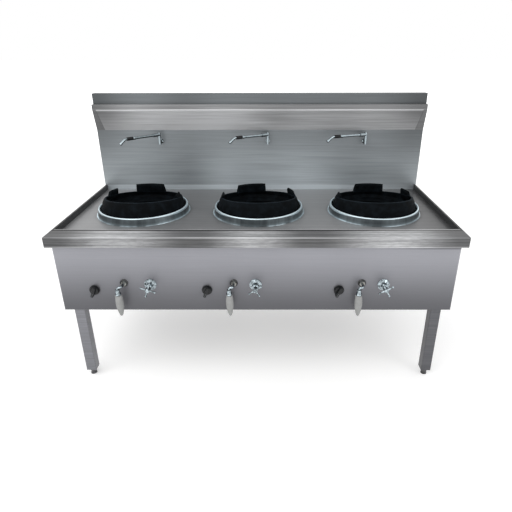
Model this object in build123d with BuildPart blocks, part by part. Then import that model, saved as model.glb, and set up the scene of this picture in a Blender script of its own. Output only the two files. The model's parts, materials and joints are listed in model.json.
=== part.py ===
from build123d import *
import math
import os

# Three-burner wok range on legs, with a tall splash, wall spouts, gas levers and water taps.
# Millimetres. X runs to the right, Y to the back, Z up. The origin is on the floor, in the middle of the
# range's outline as seen from above, tap handles included.

os.makedirs("parts", exist_ok=True)

# ---------------------------------------------------------------- driving dimensions
# Worktop and splash
overall_width = 1900.0
worktop_depth = 900.0
worktop_height = 800.0
top_sheet = 2.0
drop_edge = 50.0
drop_return = 14.0
front_ledge = 100.0
side_rim = 12.0
recess_depth = 30.0
deck_flange = 30.0
edge_bend = 3.0
splash_rise = 530.0
splash_depth = 50.0
splash_fold = 22.0
valance_low = 328.0
valance_high = 442.0
valance_top = 473.0
valance_reach = 30.0

# Body panels
panel_sheet = 1.5
body_depth = 386.0
front_inset = 25.0
side_inset = 22.0
rear_inset = 16.0
panel_flange = 20.0

# Legs, feet and under-frame
leg_size = 50.0
leg_wall = 2.0
leg_corner = 4.0
leg_inset_x = 55.0
leg_inset_y = 48.0
leg_bottom = 34.0
leg_plug = 18.0
stud_radius = 6.0
stud_length = 44.0
foot_pad_radius = 15.0
foot_pad_height = 7.0
rail_size = 40.0
rail_wall = 3.0
burner_rail_spread = 260.0
burner_rail_above_body = 96.0

# Burners
burner_to_end = 340.0
burner_back = 447.0
collar_height = 38.0
collar_sheet = 2.0
collar_lip_radius = 5.0
collar_lip_gap = 4.0
collar_lip_run = 3.0
collar_flange = 16.0
collar_seat = 11.0
deck_hole_step = 3.0
ring_base_radius = 214.0
ring_shoulder_inset = 9.0
ring_crest_inset = 34.0
ring_skirt = 26.0
ring_height = 100.0
ring_back_height = 46.0
ring_wall = 9.0
ring_floor_thickness = 8.0
ring_throat_inset = 64.0
lug_crest_inset = 23.0
lug_height = 96.0
lug_half_angle = 24.0
side_lug_half_angle = 10.0
lug_angles = ((-2.0, 91.0, 160.0), (22.0, 104.0, 184.0), (19.0, 89.0, 183.0))
drum_step = 2.0
drum_sheet = 2.0
drum_flange = 17.0
drum_floor_hole = 120.0
lining_wall = 28.0
burner_head_radius = 60.0
burner_head_thickness = 22.0
burner_above_lever = 30.0
outer_jet_radius = 46.0
outer_jets = 14
inner_jet_radius = 26.0
inner_jets = 8
jet_width = 12.0
jet_length = 20.0

# Controls, as offsets from their burner's centre line
knob_offset = (-156.0, -235.0, -224.0)
lever_offset = (-13.0, -108.0, -118.0)
tap_offset = (110.0, -6.0, -16.0)
spout_offset = (31.0, 46.0, 0.0)
knob_above_body = 110.0
lever_above_knob = 36.0
tap_above_knob = 28.0

# Pilot knob
knob_radius = 24.0
knob_shoulder = 21.0
knob_skirt = 4.0
knob_depth = 26.0
knob_base = 12.0
knob_bar_width = 13.0
knob_bar_radius = 21.0
knob_nose = 10.0
knob_neck = 3.0
knob_turn = (21.0, 24.0, 28.0)
stem_radius = 4.0

# Gas lever
lever_rod_radius = 6.0
lever_reach = 45.0
lever_bend = 10.0
lever_side = 19.0
lever_tip_side = 17.0
lever_drop = 150.0
bell_neck = 8.0
bell_length = 30.0
bell_top_radius = 9.0
bell_radius = 13.0
sleeve_length = 109.0
sleeve_end_radius = 7.0
sleeve_waist_radius = 12.5
sleeve_swell_radius = 17.5
sleeve_top_radius = 14.5
sleeve_cap = 4.0
escutcheon_radius = 19.0
escutcheon_depth = 7.0

# Water tap
tap_flange_radius = 29.0
tap_handle_reach = 68.0
tap_hub_radius = 10.0
tap_hub_length = 20.0
tap_arm_span = 76.0
tap_arm_radius = 4.4
tap_turn = (-20.0, 33.0, 30.0)
spindle_radius = 5.0
spindle_root = 14.0

# Spout
spout_post_radius = 8.5
spout_stub_radius = 7.0
spout_stand_off = 45.0
spout_low = 257.0
spout_top = 322.0
spout_joint = 296.0
spout_arm_radius = 7.5
spout_arm_length = 212.0
spout_collar_radius = 10.0
spout_collar_length = 38.0
spout_cone_length = 16.0
spout_swing = (44.0, 31.0, 21.0)
spout_bend = 20.0
nozzle_run = 34.0
nozzle_drop = 25.0
nozzle_ring = 9.0
grip_radius = 9.5
grip_length = 36.0
grip_from_end = 10.0
wall_flange = 3.0

# Pipework
gas_pipe_radius = 16.85
gas_main_below_knob = 40.0
gas_main_back = 100.0
feed_pipe_radius = 10.65
pilot_tube_radius = 3.0
main_valve_radius = 18.0
pilot_valve_radius = 10.0
water_pipe_radius = 10.65
water_main_above_tap = 88.0
water_main_back = 62.0
riser_radius = 7.5
feed_bend = 20.0
feed_run = 25.0
drum_approach = 12.0
tube_bend = 12.0
tube_run = 30.0
tube_rise = 60.0
tube_to_burner = 40.0
main_stub = 25.0
riser_bend = 15.0
riser_run = 60.0
riser_to_rear = 30.0
riser_lane_gap = 20.0
pipe_below_body = 14.0
inlet_nipple = 30.0
union_height = 14.0
union_wall = 6.0
gas_inlet_to_end = 170.0
water_inlet_to_end = 250.0

# Clearances
running_gap = 0.05
body_gap = 0.3
pipe_gap = 1.5

# ---------------------------------------------------------------- derived places
sides = ("left", "centre", "right")
handle_reach = tap_handle_reach - front_inset
y_front = -(worktop_depth - handle_reach) / 2
y_rear = y_front + worktop_depth
y_mid = (y_front + y_rear) / 2
y_face = y_rear - splash_depth
panel_face = y_front + front_inset
panel_back = panel_face + panel_sheet
half_width = overall_width / 2
half_recess = half_width - side_rim
half_body = half_width - side_inset
deck_top = worktop_height - recess_depth
deck_under = deck_top - top_sheet
well_bottom = deck_under - top_sheet
splash_top = worktop_height + splash_rise
body_bottom = worktop_height - body_depth
knob_height = body_bottom + knob_above_body
lever_height = knob_height + lever_above_knob
tap_height = knob_height + tap_above_knob
burner_height = lever_height + burner_above_lever
burner_rail_top = body_bottom + burner_rail_above_body
gas_main_height = knob_height - gas_main_below_knob
water_main_height = tap_height + water_main_above_tap
inlet_end = body_bottom - pipe_below_body
gas_inlet_x = half_width - gas_inlet_to_end
water_inlet_x = half_width - water_inlet_to_end
burner_pitch = half_width - burner_to_end
well_front = y_front + front_ledge
y_burner = y_front + burner_back
burner_x = (-burner_pitch, 0.0, burner_pitch)
knob_x = [x + d for x, d in zip(burner_x, knob_offset)]
lever_x = [x + d for x, d in zip(burner_x, lever_offset)]
tap_x = [x + d for x, d in zip(burner_x, tap_offset)]
spout_x = [x + d for x, d in zip(burner_x, spout_offset)]
half_leg = half_width - leg_inset_x - leg_size / 2
leg_front = y_front + leg_inset_y + leg_size / 2
leg_rear = y_rear - leg_inset_y - leg_size / 2
ring_shoulder_radius = ring_base_radius - ring_shoulder_inset
ring_crest_radius = ring_base_radius - ring_crest_inset
ring_throat_radius = ring_base_radius - ring_throat_inset
lug_crest_radius = ring_base_radius - lug_crest_inset
lip_centre = ring_base_radius + collar_lip_gap + collar_lip_run + collar_lip_radius
collar_radius = lip_centre + collar_flange
collar_seat_inner = ring_base_radius - collar_seat
deck_hole_radius = collar_seat_inner - deck_hole_step
drum_radius = deck_hole_radius - drum_step


def upright(x, y):
    """The plane for a profile turned about the upright line at x, y: radius across, height up."""
    return Plane(origin=(x, y, 0), x_dir=(1, 0, 0), z_dir=(0, -1, 0))


def forward(x, z, y=panel_face):
    """The plane for a profile turned about the line that runs forward from x, y, z."""
    return Plane(origin=(x, y, z), x_dir=(0, -1, 0), z_dir=(-1, 0, 0))


def facing(x, z, y=panel_face):
    """The plane that faces forward at x, y, z, with X across and Z up."""
    return Plane(origin=(x, y, z), x_dir=(1, 0, 0), z_dir=(0, -1, 0))


# ---------------------------------------------------------------- worktop tray
with BuildPart() as worktop:
    with BuildSketch(Plane.XY.offset(worktop_height - drop_edge)):
        with Locations((0, y_mid)):
            Rectangle(overall_width, worktop_depth)
    extrude(amount=drop_edge)
    fillet(worktop.faces().sort_by(Axis.Z)[-1].edges(), edge_bend)
    with BuildSketch(Plane.XY.offset(worktop_height - drop_edge + top_sheet)):
        with Locations((0, y_mid)):
            Rectangle(overall_width - 2 * top_sheet, worktop_depth - 2 * top_sheet)
    extrude(amount=drop_edge - 2 * top_sheet, mode=Mode.SUBTRACT)
    with BuildSketch(Plane.XY.offset(worktop_height - drop_edge)):
        with Locations((0, y_mid)):
            Rectangle(overall_width - 2 * drop_return, worktop_depth - 2 * drop_return)
    extrude(amount=top_sheet, mode=Mode.SUBTRACT)
    well_back = y_face + panel_sheet
    well_mid = (well_front + well_back) / 2
    well_length = well_back - well_front
    with BuildSketch(Plane.XY.offset(well_bottom)):
        with Locations((0, well_mid)):
            Rectangle(2 * (half_recess + top_sheet), well_length + 2 * top_sheet)
    extrude(amount=worktop_height - top_sheet - well_bottom)
    with BuildSketch(Plane.XY.offset(deck_under)):
        with Locations((0, well_mid)):
            Rectangle(2 * half_recess, well_length)
    extrude(amount=worktop_height - deck_under, mode=Mode.SUBTRACT)
    with BuildSketch(Plane.XY.offset(well_bottom)):
        with Locations((0, well_mid)):
            Rectangle(2 * (half_recess - deck_flange), well_length - 2 * deck_flange)
    extrude(amount=top_sheet, mode=Mode.SUBTRACT)
    for x in spout_x:
        with Locations((x, y_rear - riser_to_rear, worktop_height)):
            Hole(riser_radius + pipe_gap, depth=2 * top_sheet)
worktop.part.label = "worktop"
export_step(worktop.part, "parts/worktop.step")

# ---------------------------------------------------------------- recessed deck plate
with BuildPart() as deck_plate:
    with BuildSketch(Plane.XY.offset(deck_under)):
        with Locations((0, (well_front + y_face + panel_sheet) / 2)):
            Rectangle(2 * half_recess - body_gap, y_face + panel_sheet - well_front - body_gap)
        with Locations(*[(x, y_burner) for x in burner_x]):
            Circle(deck_hole_radius, mode=Mode.SUBTRACT)
    extrude(amount=top_sheet)
deck_plate.part.label = "deck_plate"
export_step(deck_plate.part, "parts/deck_plate.step")

# ---------------------------------------------------------------- splash box, open at the back
with BuildPart() as splash:
    with BuildSketch(Plane.XY.offset(worktop_height)):
        with Locations((0, y_face + splash_depth / 2)):
            Rectangle(overall_width, splash_depth)
    extrude(amount=splash_rise)
    with BuildSketch(Plane.XZ.offset(-y_rear)):
        with Locations((0, worktop_height + (splash_rise - panel_sheet) / 2)):
            Rectangle(overall_width - 2 * panel_sheet, splash_rise - panel_sheet)
    extrude(amount=splash_depth - panel_sheet, mode=Mode.SUBTRACT)
    with BuildSketch(Plane.XZ.offset(-y_face)):
        with Locations((0, (worktop_height + deck_top) / 2)):
            Rectangle(2 * half_recess - body_gap, recess_depth)
    extrude(amount=-panel_sheet)
    for x in spout_x:
        with BuildSketch(facing(x, worktop_height + spout_low + spout_post_radius, y_face)):
            Circle(spout_stub_radius + body_gap)
        extrude(amount=-panel_sheet, mode=Mode.SUBTRACT)
splash.part.label = "splash"
export_step(splash.part, "parts/splash.step")

# ---------------------------------------------------------------- rear cover of the splash box
with BuildPart() as splash_cover:
    with BuildSketch(Plane.XZ.offset(-y_rear)):
        with Locations((0, worktop_height + (splash_rise - panel_sheet) / 2)):
            Rectangle(overall_width - 2 * panel_sheet - 2, splash_rise - panel_sheet)
    extrude(amount=panel_sheet)
    with BuildSketch(Plane.XY.offset(splash_top - panel_sheet)):
        with Locations((0, y_rear - splash_fold / 2)):
            Rectangle(overall_width - 2 * panel_sheet - 2, splash_fold)
    extrude(amount=-panel_sheet)
splash_cover.part.label = "splash_cover"
export_step(splash_cover.part, "parts/splash_cover.step")

# ---------------------------------------------------------------- sloping valance with upright lip
with BuildPart() as valance:
    with BuildSketch(Plane.YZ.offset(-half_width)):
        with BuildLine():
            Polyline(
                (y_face, worktop_height + valance_low),
                (y_face - valance_reach, worktop_height + valance_high),
                (y_face - valance_reach, worktop_height + valance_top),
                (y_face, worktop_height + valance_top),
                close=True,
            )
        make_face()
    extrude(amount=overall_width)
    front_bends = valance.edges().filter_by(Axis.X).group_by(Axis.Y)[0]
    fillet(front_bends, edge_bend)
    back_face = valance.faces().sort_by(Axis.Y)[-1]
    offset(amount=-panel_sheet, openings=back_face)
valance.part.label = "valance"
export_step(valance.part, "parts/valance.step")

# ---------------------------------------------------------------- front panel with control holes
with BuildPart() as front_panel:
    panel_height = worktop_height - top_sheet - body_bottom
    with BuildSketch(Plane.XZ.offset(-panel_face)):
        with Locations((0, body_bottom + panel_height / 2)):
            Rectangle(2 * half_body, panel_height)
    extrude(amount=-panel_flange)
    with BuildSketch(Plane.XZ.offset(-panel_back)):
        with Locations((0, body_bottom + panel_height / 2)):
            Rectangle(2 * (half_body - panel_sheet), panel_height - 2 * panel_sheet)
    extrude(amount=-panel_flange, mode=Mode.SUBTRACT)
    corner_edges = front_panel.edges().filter_by(Axis.Z).group_by(Axis.Y)[0]
    fillet(corner_edges, panel_sheet)
    with BuildSketch(Plane.XZ.offset(-panel_face)):
        with Locations(*[(x, knob_height) for x in knob_x]):
            Circle(pilot_valve_radius)
        with Locations(*[(x, lever_height) for x in lever_x]):
            Circle(lever_rod_radius + 5)
        with Locations(*[(x, tap_height) for x in tap_x]):
            Circle(spindle_radius + 6)
    extrude(amount=-panel_sheet, mode=Mode.SUBTRACT)
front_panel.part.label = "front_panel"
export_step(front_panel.part, "parts/front_panel.step")

# ---------------------------------------------------------------- side panels
side_from = panel_face + panel_flange + body_gap
side_to = y_rear - rear_inset - panel_sheet
for side, hand in (("left", -1), ("right", 1)):
    with BuildPart() as side_panel:
        with BuildSketch(Plane.XY.offset(body_bottom)):
            with Locations((hand * (half_body - panel_flange / 2), (side_from + side_to) / 2)):
                Rectangle(panel_flange, side_to - side_from)
        extrude(amount=well_bottom - body_bottom)
        with BuildSketch(Plane.XY.offset(body_bottom + panel_sheet)):
            with Locations((hand * (half_body - panel_sheet - panel_flange / 2), (side_from + side_to) / 2)):
                Rectangle(panel_flange, side_to - side_from)
        extrude(amount=well_bottom - body_bottom - 2 * panel_sheet, mode=Mode.SUBTRACT)
    side_panel.part.label = f"side_panel_{side}"
    export_step(side_panel.part, f"parts/side_panel_{side}.step")

# ---------------------------------------------------------------- rear panel
with BuildPart() as rear_panel:
    rear_face = y_rear - rear_inset
    with BuildSketch(Plane.XZ.offset(-rear_face)):
        with Locations((0, body_bottom + panel_height / 2)):
            Rectangle(2 * half_body, panel_height)
    extrude(amount=panel_sheet)
    with BuildSketch(Plane.XY.offset(body_bottom)):
        with Locations((0, rear_face - panel_flange / 2)):
            Rectangle(2 * (half_body - panel_flange) - 2, panel_flange)
    extrude(amount=panel_sheet)
rear_panel.part.label = "rear_panel"
export_step(rear_panel.part, "parts/rear_panel.step")

# ---------------------------------------------------------------- legs and screw-in feet
for leg, x, y in (
    ("front_left", -half_leg, leg_front),
    ("front_right", half_leg, leg_front),
    ("rear_left", -half_leg, leg_rear),
    ("rear_right", half_leg, leg_rear),
):
    with BuildPart() as leg_tube:
        with BuildSketch(Plane.XY.offset(leg_bottom)):
            with Locations((x, y)):
                RectangleRounded(leg_size, leg_size, leg_corner)
        extrude(amount=well_bottom - leg_bottom)
        with BuildSketch(Plane.XY.offset(leg_bottom + leg_plug)):
            with Locations((x, y)):
                RectangleRounded(leg_size - 2 * leg_wall, leg_size - 2 * leg_wall, leg_corner - leg_wall)
        extrude(amount=well_bottom - leg_bottom - leg_plug, mode=Mode.SUBTRACT)
        with BuildSketch(Plane.XY.offset(leg_bottom)):
            with Locations((x, y)):
                Circle(stud_radius + running_gap)
        extrude(amount=leg_plug, mode=Mode.SUBTRACT)
    leg_tube.part.label = f"leg_{leg}"
    export_step(leg_tube.part, f"parts/leg_{leg}.step")

    nose_top = leg_bottom - body_gap
    with BuildPart() as foot:
        with BuildSketch(upright(x, y)):
            with BuildLine():
                Polyline(
                    (0, 0),
                    (foot_pad_radius, 0),
                    (foot_pad_radius, foot_pad_height),
                    (foot_pad_radius - 4, foot_pad_height + 2),
                    (foot_pad_radius - 4, foot_pad_height + 5),
                    (leg_size / 2 - 5, nose_top - 3),
                    (leg_size / 2 - 5, nose_top),
                    (stud_radius, nose_top),
                    (stud_radius, nose_top + stud_length),
                    (0, nose_top + stud_length),
                    close=True,
                )
            make_face()
        revolve(axis=Axis((x, y, 0), (0, 0, 1)))
    foot.part.label = f"foot_{leg}"
    export_step(foot.part, f"parts/foot_{leg}.step")

# ---------------------------------------------------------------- welded under-frame of angle and tube
rail_from = leg_front + leg_size / 2
rail_to = leg_rear - leg_size / 2
inner_leg = half_leg - leg_size / 2
outer_leg = half_leg + leg_size / 2
side_rail_out = half_body - panel_flange - 2
with BuildPart() as under_frame:
    # Long angles under the front and rear edges of the well
    for y, way in ((well_front + rail_size / 2, -1), (y_face + panel_sheet - rail_size / 2, 1)):
        with BuildSketch(Plane.YZ.offset(-inner_leg)):
            with Locations((y, well_bottom - rail_wall / 2)):
                Rectangle(rail_size, rail_wall)
            with Locations((y + way * (rail_size - rail_wall) / 2, well_bottom - rail_size / 2)):
                Rectangle(rail_wall, rail_size)
        extrude(amount=2 * inner_leg)
    for hand in (-1, 1):
        # Short angles under the well's side flanges, then low ones that carry the burner rails
        for z in (well_bottom, burner_rail_top - rail_size):
            with BuildSketch(Plane.XZ.offset(-rail_from)):
                with Locations((hand * (side_rail_out - rail_size / 2), z - rail_wall / 2)):
                    Rectangle(rail_size, rail_wall)
                with Locations((hand * (side_rail_out - rail_wall / 2), z - rail_size / 2)):
                    Rectangle(rail_wall, rail_size)
            extrude(amount=-(rail_to - rail_from))
    for y in (y_burner - burner_rail_spread / 2, y_burner + burner_rail_spread / 2):
        with BuildSketch(Plane.YZ.offset(-side_rail_out)):
            with Locations((y, burner_rail_top - rail_size / 2)):
                Rectangle(rail_size, rail_size)
                Rectangle(rail_size - 2 * rail_wall, rail_size - 2 * rail_wall, mode=Mode.SUBTRACT)
        extrude(amount=2 * side_rail_out)
under_frame.part.label = "under_frame"
export_step(under_frame.part, "parts/under_frame.step")

# ---------------------------------------------------------------- one burner station after another
seat_top = deck_top + collar_sheet
ring_foot = seat_top + body_gap
ring_crest = ring_foot + ring_height
drum_top = deck_under
drum_inner = drum_radius - drum_sheet
lining_outer = drum_inner - body_gap
lining_inner = lining_outer - lining_wall
pilot_side = burner_head_radius + 10

for side, x, angles in zip(sides, burner_x, lug_angles):
    # Spun collar: flange on the deck, sloping wall, rolled lip and a flat seat for the ring
    with BuildPart() as collar:
        with BuildSketch(upright(x, y_burner)):
            with BuildLine():
                Polyline(
                    (collar_seat_inner, deck_top),
                    (collar_seat_inner, seat_top),
                    (lip_centre - collar_lip_radius - collar_lip_run, seat_top),
                    (lip_centre - collar_lip_radius, deck_top + collar_height - collar_lip_radius),
                )
                ThreePointArc(
                    (lip_centre - collar_lip_radius, deck_top + collar_height - collar_lip_radius),
                    (lip_centre, deck_top + collar_height),
                    (lip_centre + collar_lip_radius, deck_top + collar_height - collar_lip_radius),
                )
                Polyline(
                    (lip_centre + collar_lip_radius, deck_top + collar_height - collar_lip_radius),
                    (collar_radius - 6, seat_top + 1),
                    (collar_radius - 1, seat_top + 1),
                    (collar_radius, deck_top),
                    (collar_radius - 8, deck_top),
                    (lip_centre + collar_lip_radius - 2, deck_top + collar_height - collar_lip_radius),
                    (lip_centre - collar_lip_radius + 2, deck_top + collar_height - collar_lip_radius),
                    (lip_centre - collar_lip_radius - 1, deck_top),
                    (collar_seat_inner, deck_top),
                )
            make_face()
        revolve(axis=Axis((x, y_burner, 0), (0, 0, 1)))
    collar.part.label = f"collar_{side}"
    export_step(collar.part, f"parts/collar_{side}.step")

    # Cast ring: skirt, curved shoulder and floor ledge, with its rim cut down on a slope towards the back
    with BuildPart() as wok_ring:
        with BuildSketch(upright(x, y_burner)):
            with BuildLine():
                Polyline(
                    (ring_crest_radius - ring_wall, ring_crest),
                    (ring_crest_radius, ring_crest),
                )
                ThreePointArc(
                    (ring_crest_radius, ring_crest),
                    (ring_shoulder_radius, (ring_crest + ring_foot + ring_skirt) / 2),
                    (ring_base_radius, ring_foot + ring_skirt),
                )
                Polyline(
                    (ring_base_radius, ring_foot + ring_skirt),
                    (ring_base_radius, ring_foot),
                    (ring_throat_radius, ring_foot),
                    (ring_throat_radius, ring_foot + ring_floor_thickness - 2),
                    (ring_throat_radius + 2, ring_foot + ring_floor_thickness),
                    (ring_base_radius - ring_wall - 6, ring_foot + ring_floor_thickness + 4),
                    (ring_base_radius - ring_wall, ring_foot + ring_skirt),
                )
                ThreePointArc(
                    (ring_base_radius - ring_wall, ring_foot + ring_skirt),
                    (ring_shoulder_radius - ring_wall, (ring_crest + ring_foot + ring_skirt) / 2),
                    (ring_crest_radius - ring_wall, ring_crest),
                )
            make_face()
        revolve(axis=Axis((x, y_burner, 0), (0, 0, 1)))
        with BuildSketch(Plane.YZ.offset(x - ring_base_radius - 1)):
            with BuildLine():
                Polyline(
                    (y_burner - ring_crest_radius - 1, ring_crest),
                    (y_burner + ring_base_radius + 1, ring_foot + ring_back_height),
                    (y_burner + ring_base_radius + 1, ring_crest + 1),
                    (y_burner - ring_crest_radius - 1, ring_crest + 1),
                    close=True,
                )
            make_face()
        extrude(amount=2 * ring_base_radius + 2, mode=Mode.SUBTRACT)
        for middle in angles:
            half = lug_half_angle if abs(middle - 90) < 45 else side_lug_half_angle
            start = math.radians(middle - half)
            lug_plane = Plane(
                origin=(x, y_burner, 0),
                x_dir=(math.cos(start), math.sin(start), 0),
                z_dir=(math.sin(start), -math.cos(start), 0),
            )
            with BuildSketch(lug_plane):
                with BuildLine():
                    Polyline(
                        (ring_base_radius - ring_wall - 4, ring_foot + ring_back_height - 14),
                        (ring_base_radius - 4, ring_foot + ring_back_height - 14),
                        (ring_shoulder_radius - 1, (ring_crest + ring_foot + ring_skirt) / 2),
                        (lug_crest_radius, ring_foot + lug_height - 2),
                        (lug_crest_radius - 2, ring_foot + lug_height),
                        (lug_crest_radius - 7, ring_foot + lug_height),
                        (lug_crest_radius - 11, ring_foot + lug_height - 8),
                        (ring_shoulder_radius - ring_wall - 10, ring_foot + ring_back_height + 8),
                        close=True,
                    )
                make_face()
            revolve(axis=Axis((x, y_burner, 0), (0, 0, 1)), revolution_arc=2 * half)
    wok_ring.part.label = f"wok_ring_{side}"
    export_step(wok_ring.part, f"parts/wok_ring_{side}.step")

    # Sheet drum under the deck, with an air hole in its floor and holes for the gas pipes
    with BuildPart() as drum:
        with BuildSketch(upright(x, y_burner)):
            with BuildLine():
                Polyline(
                    (drum_floor_hole, burner_rail_top),
                    (drum_radius, burner_rail_top),
                    (drum_radius, drum_top - drum_sheet),
                    (drum_radius + drum_flange, drum_top - drum_sheet),
                    (drum_radius + drum_flange, drum_top),
                    (drum_inner, drum_top),
                    (drum_inner, burner_rail_top + drum_sheet),
                    (drum_floor_hole, burner_rail_top + drum_sheet),
                    close=True,
                )
            make_face()
        revolve(axis=Axis((x, y_burner, 0), (0, 0, 1)))
        with BuildSketch(facing(x, burner_height, y_burner)):
            Circle(feed_pipe_radius + pipe_gap)
            with Locations((-pilot_side, knob_height - burner_height)):
                Circle(pilot_tube_radius + pipe_gap)
        extrude(amount=drum_radius + 1, mode=Mode.SUBTRACT)
    drum.part.label = f"drum_{side}"
    export_step(drum.part, f"parts/drum_{side}.step")

    # Jet burner: round head with rings of hexagon jets, inlet boss and a support bar
    with BuildPart() as burner:
        head_under = burner_height + feed_pipe_radius + 4
        with BuildSketch(Plane.XY.offset(head_under)):
            with Locations((x, y_burner)):
                Circle(burner_head_radius)
        extrude(amount=burner_head_thickness)
        fillet(burner.edges().sort_by(Axis.Z)[-1], 4)
        with BuildSketch(Plane.XY.offset(burner_rail_top + drum_sheet + 6)):
            with Locations((x, y_burner)):
                Circle(feed_pipe_radius + 8)
        extrude(amount=head_under - burner_rail_top - drum_sheet - 6)
        with BuildSketch(Plane.XY.offset(burner_rail_top + drum_sheet)):
            with Locations((x, y_burner)):
                Rectangle(2 * (lining_inner - 2), 30)
        extrude(amount=6)
        for radius, count in ((outer_jet_radius, outer_jets), (inner_jet_radius, inner_jets)):
            with BuildSketch(Plane.XY.offset(head_under + burner_head_thickness)):
                with Locations((x, y_burner)):
                    with PolarLocations(radius, count):
                        RegularPolygon(jet_width / 2, 6)
            extrude(amount=jet_length, taper=6)
    burner.part.label = f"burner_{side}"
    export_step(burner.part, f"parts/burner_{side}.step")

# Refractory linings stand on the drum floors, each notched for its gas pipes
notch_height = burner_height + feed_pipe_radius + 12 - burner_rail_top
with BuildPart() as linings:
    with BuildSketch(Plane.XY.offset(burner_rail_top + drum_sheet)):
        with Locations(*[(x, y_burner) for x in burner_x]):
            Circle(lining_outer)
            Circle(lining_inner, mode=Mode.SUBTRACT)
    extrude(amount=drum_top - burner_rail_top - drum_sheet)
    with BuildSketch(facing(0, burner_rail_top, y_burner)):
        with Locations(*[(x - pilot_side / 2, notch_height / 2) for x in burner_x]):
            Rectangle(pilot_side + 2 * feed_pipe_radius + 24, notch_height)
    extrude(amount=drum_radius, mode=Mode.SUBTRACT)
linings.part.label = "linings"
export_step(linings.part, "parts/linings.step")

# ---------------------------------------------------------------- gas side
y_gas = y_front + gas_main_back
boss_top = gas_main_height + gas_pipe_radius + 5
with BuildPart() as gas_manifold:
    with BuildLine() as gas_line:
        FilletPolyline(
            (knob_x[0] - main_stub, y_gas, gas_main_height),
            (gas_inlet_x, y_gas, gas_main_height),
            (gas_inlet_x, y_gas, inlet_end),
            radius=2 * gas_pipe_radius,
        )
    with BuildSketch(Plane(gas_line.line @ 0, z_dir=gas_line.line % 0)):
        Circle(gas_pipe_radius)
    sweep()
    with BuildSketch(Plane.XY.offset(gas_main_height)):
        with Locations(*[(x, y_gas) for x in knob_x]):
            Circle(pilot_valve_radius)
        with Locations(*[(x, y_gas) for x in lever_x]):
            Circle(main_valve_radius - 2)
    extrude(amount=boss_top - gas_main_height)
    with BuildSketch(Plane.XY.offset(inlet_end + inlet_nipple)):
        with Locations((gas_inlet_x, y_gas)):
            RegularPolygon(gas_pipe_radius + union_wall, 6)
    extrude(amount=union_height)
gas_manifold.part.label = "gas_manifold"
export_step(gas_manifold.part, "parts/gas_manifold.step")

# Pilot valves: a plug body on its boss, a neck through the panel and a bore for the knob's stem
with BuildPart() as pilot_valves:
    for x in knob_x:
        with BuildSketch(facing(x, knob_height, y_gas + pilot_valve_radius)):
            Circle(pilot_valve_radius)
        extrude(amount=y_gas + pilot_valve_radius - panel_back)
        with BuildSketch(facing(x, knob_height, panel_back)):
            Circle(pilot_valve_radius - 2)
        extrude(amount=panel_sheet + knob_neck)
        with BuildSketch(Plane.XY.offset(boss_top)):
            with Locations((x, y_gas)):
                Circle(pilot_valve_radius - 2)
        extrude(amount=knob_height - boss_top)
        with BuildSketch(facing(x, knob_height, y_gas - pilot_valve_radius)):
            Circle(stem_radius + running_gap)
        extrude(amount=y_gas - panel_face, mode=Mode.SUBTRACT)
pilot_valves.part.label = "pilot_valves"
export_step(pilot_valves.part, "parts/pilot_valves.step")

# Main gas valves: upright body, bonnet forward through the panel, gland nut, outlet boss behind
with BuildPart() as main_valves:
    for x in lever_x:
        with BuildSketch(Plane.XY.offset(boss_top)):
            with Locations((x, y_gas)):
                Circle(main_valve_radius)
        extrude(amount=burner_height + main_valve_radius - boss_top)
        with BuildSketch(facing(x, lever_height, y_gas)):
            Circle(main_valve_radius - 3)
        extrude(amount=y_gas - panel_back)
        with BuildSketch(facing(x, lever_height, panel_back)):
            Circle(lever_rod_radius + 4)
        extrude(amount=panel_sheet + escutcheon_depth)
        with BuildSketch(facing(x, lever_height, panel_face - escutcheon_depth)):
            RegularPolygon(lever_rod_radius + 5, 6, major_radius=False)
        extrude(amount=6)
        with BuildSketch(facing(x, burner_height, y_gas + main_valve_radius + 4)):
            Circle(feed_pipe_radius + 3)
        extrude(amount=main_valve_radius + 4)
        with BuildSketch(facing(x, lever_height, y_gas - 10)):
            Circle(lever_rod_radius + running_gap)
        extrude(amount=y_gas - panel_face + 20, mode=Mode.SUBTRACT)
main_valves.part.label = "main_valves"
export_step(main_valves.part, "parts/main_valves.step")

with BuildPart() as escutcheons:
    for x in lever_x:
        with BuildSketch(forward(x, lever_height)):
            with BuildLine():
                Polyline(
                    (0, lever_rod_radius + 4.5),
                    (0, escutcheon_radius),
                    (escutcheon_depth - 4, escutcheon_radius),
                    (escutcheon_depth - 0.5, escutcheon_radius - 3),
                    (escutcheon_depth - 0.5, lever_rod_radius + 4.5),
                    close=True,
                )
            make_face()
        revolve(axis=Axis((x, panel_face, lever_height), (0, -1, 0)))
escutcheons.part.label = "escutcheons"
export_step(escutcheons.part, "parts/escutcheons.step")

# Feed pipes from the main valves to the burners
feed_start = y_gas + main_valve_radius + 4
hub_front = y_burner - feed_pipe_radius - 8
with BuildPart() as feed_pipes:
    for x_from, x_to in zip(lever_x, burner_x):
        with BuildLine() as feed_line:
            FilletPolyline(
                (x_from, feed_start, burner_height),
                (x_from, feed_start + feed_run, burner_height),
                (x_to, y_burner - drum_radius - drum_approach, burner_height),
                (x_to, hub_front, burner_height),
                radius=feed_bend,
            )
        with BuildSketch(Plane(feed_line.line @ 0, z_dir=feed_line.line % 0)):
            Circle(feed_pipe_radius)
        sweep()
feed_pipes.part.label = "feed_pipes"
export_step(feed_pipes.part, "parts/feed_pipes.step")

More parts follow.
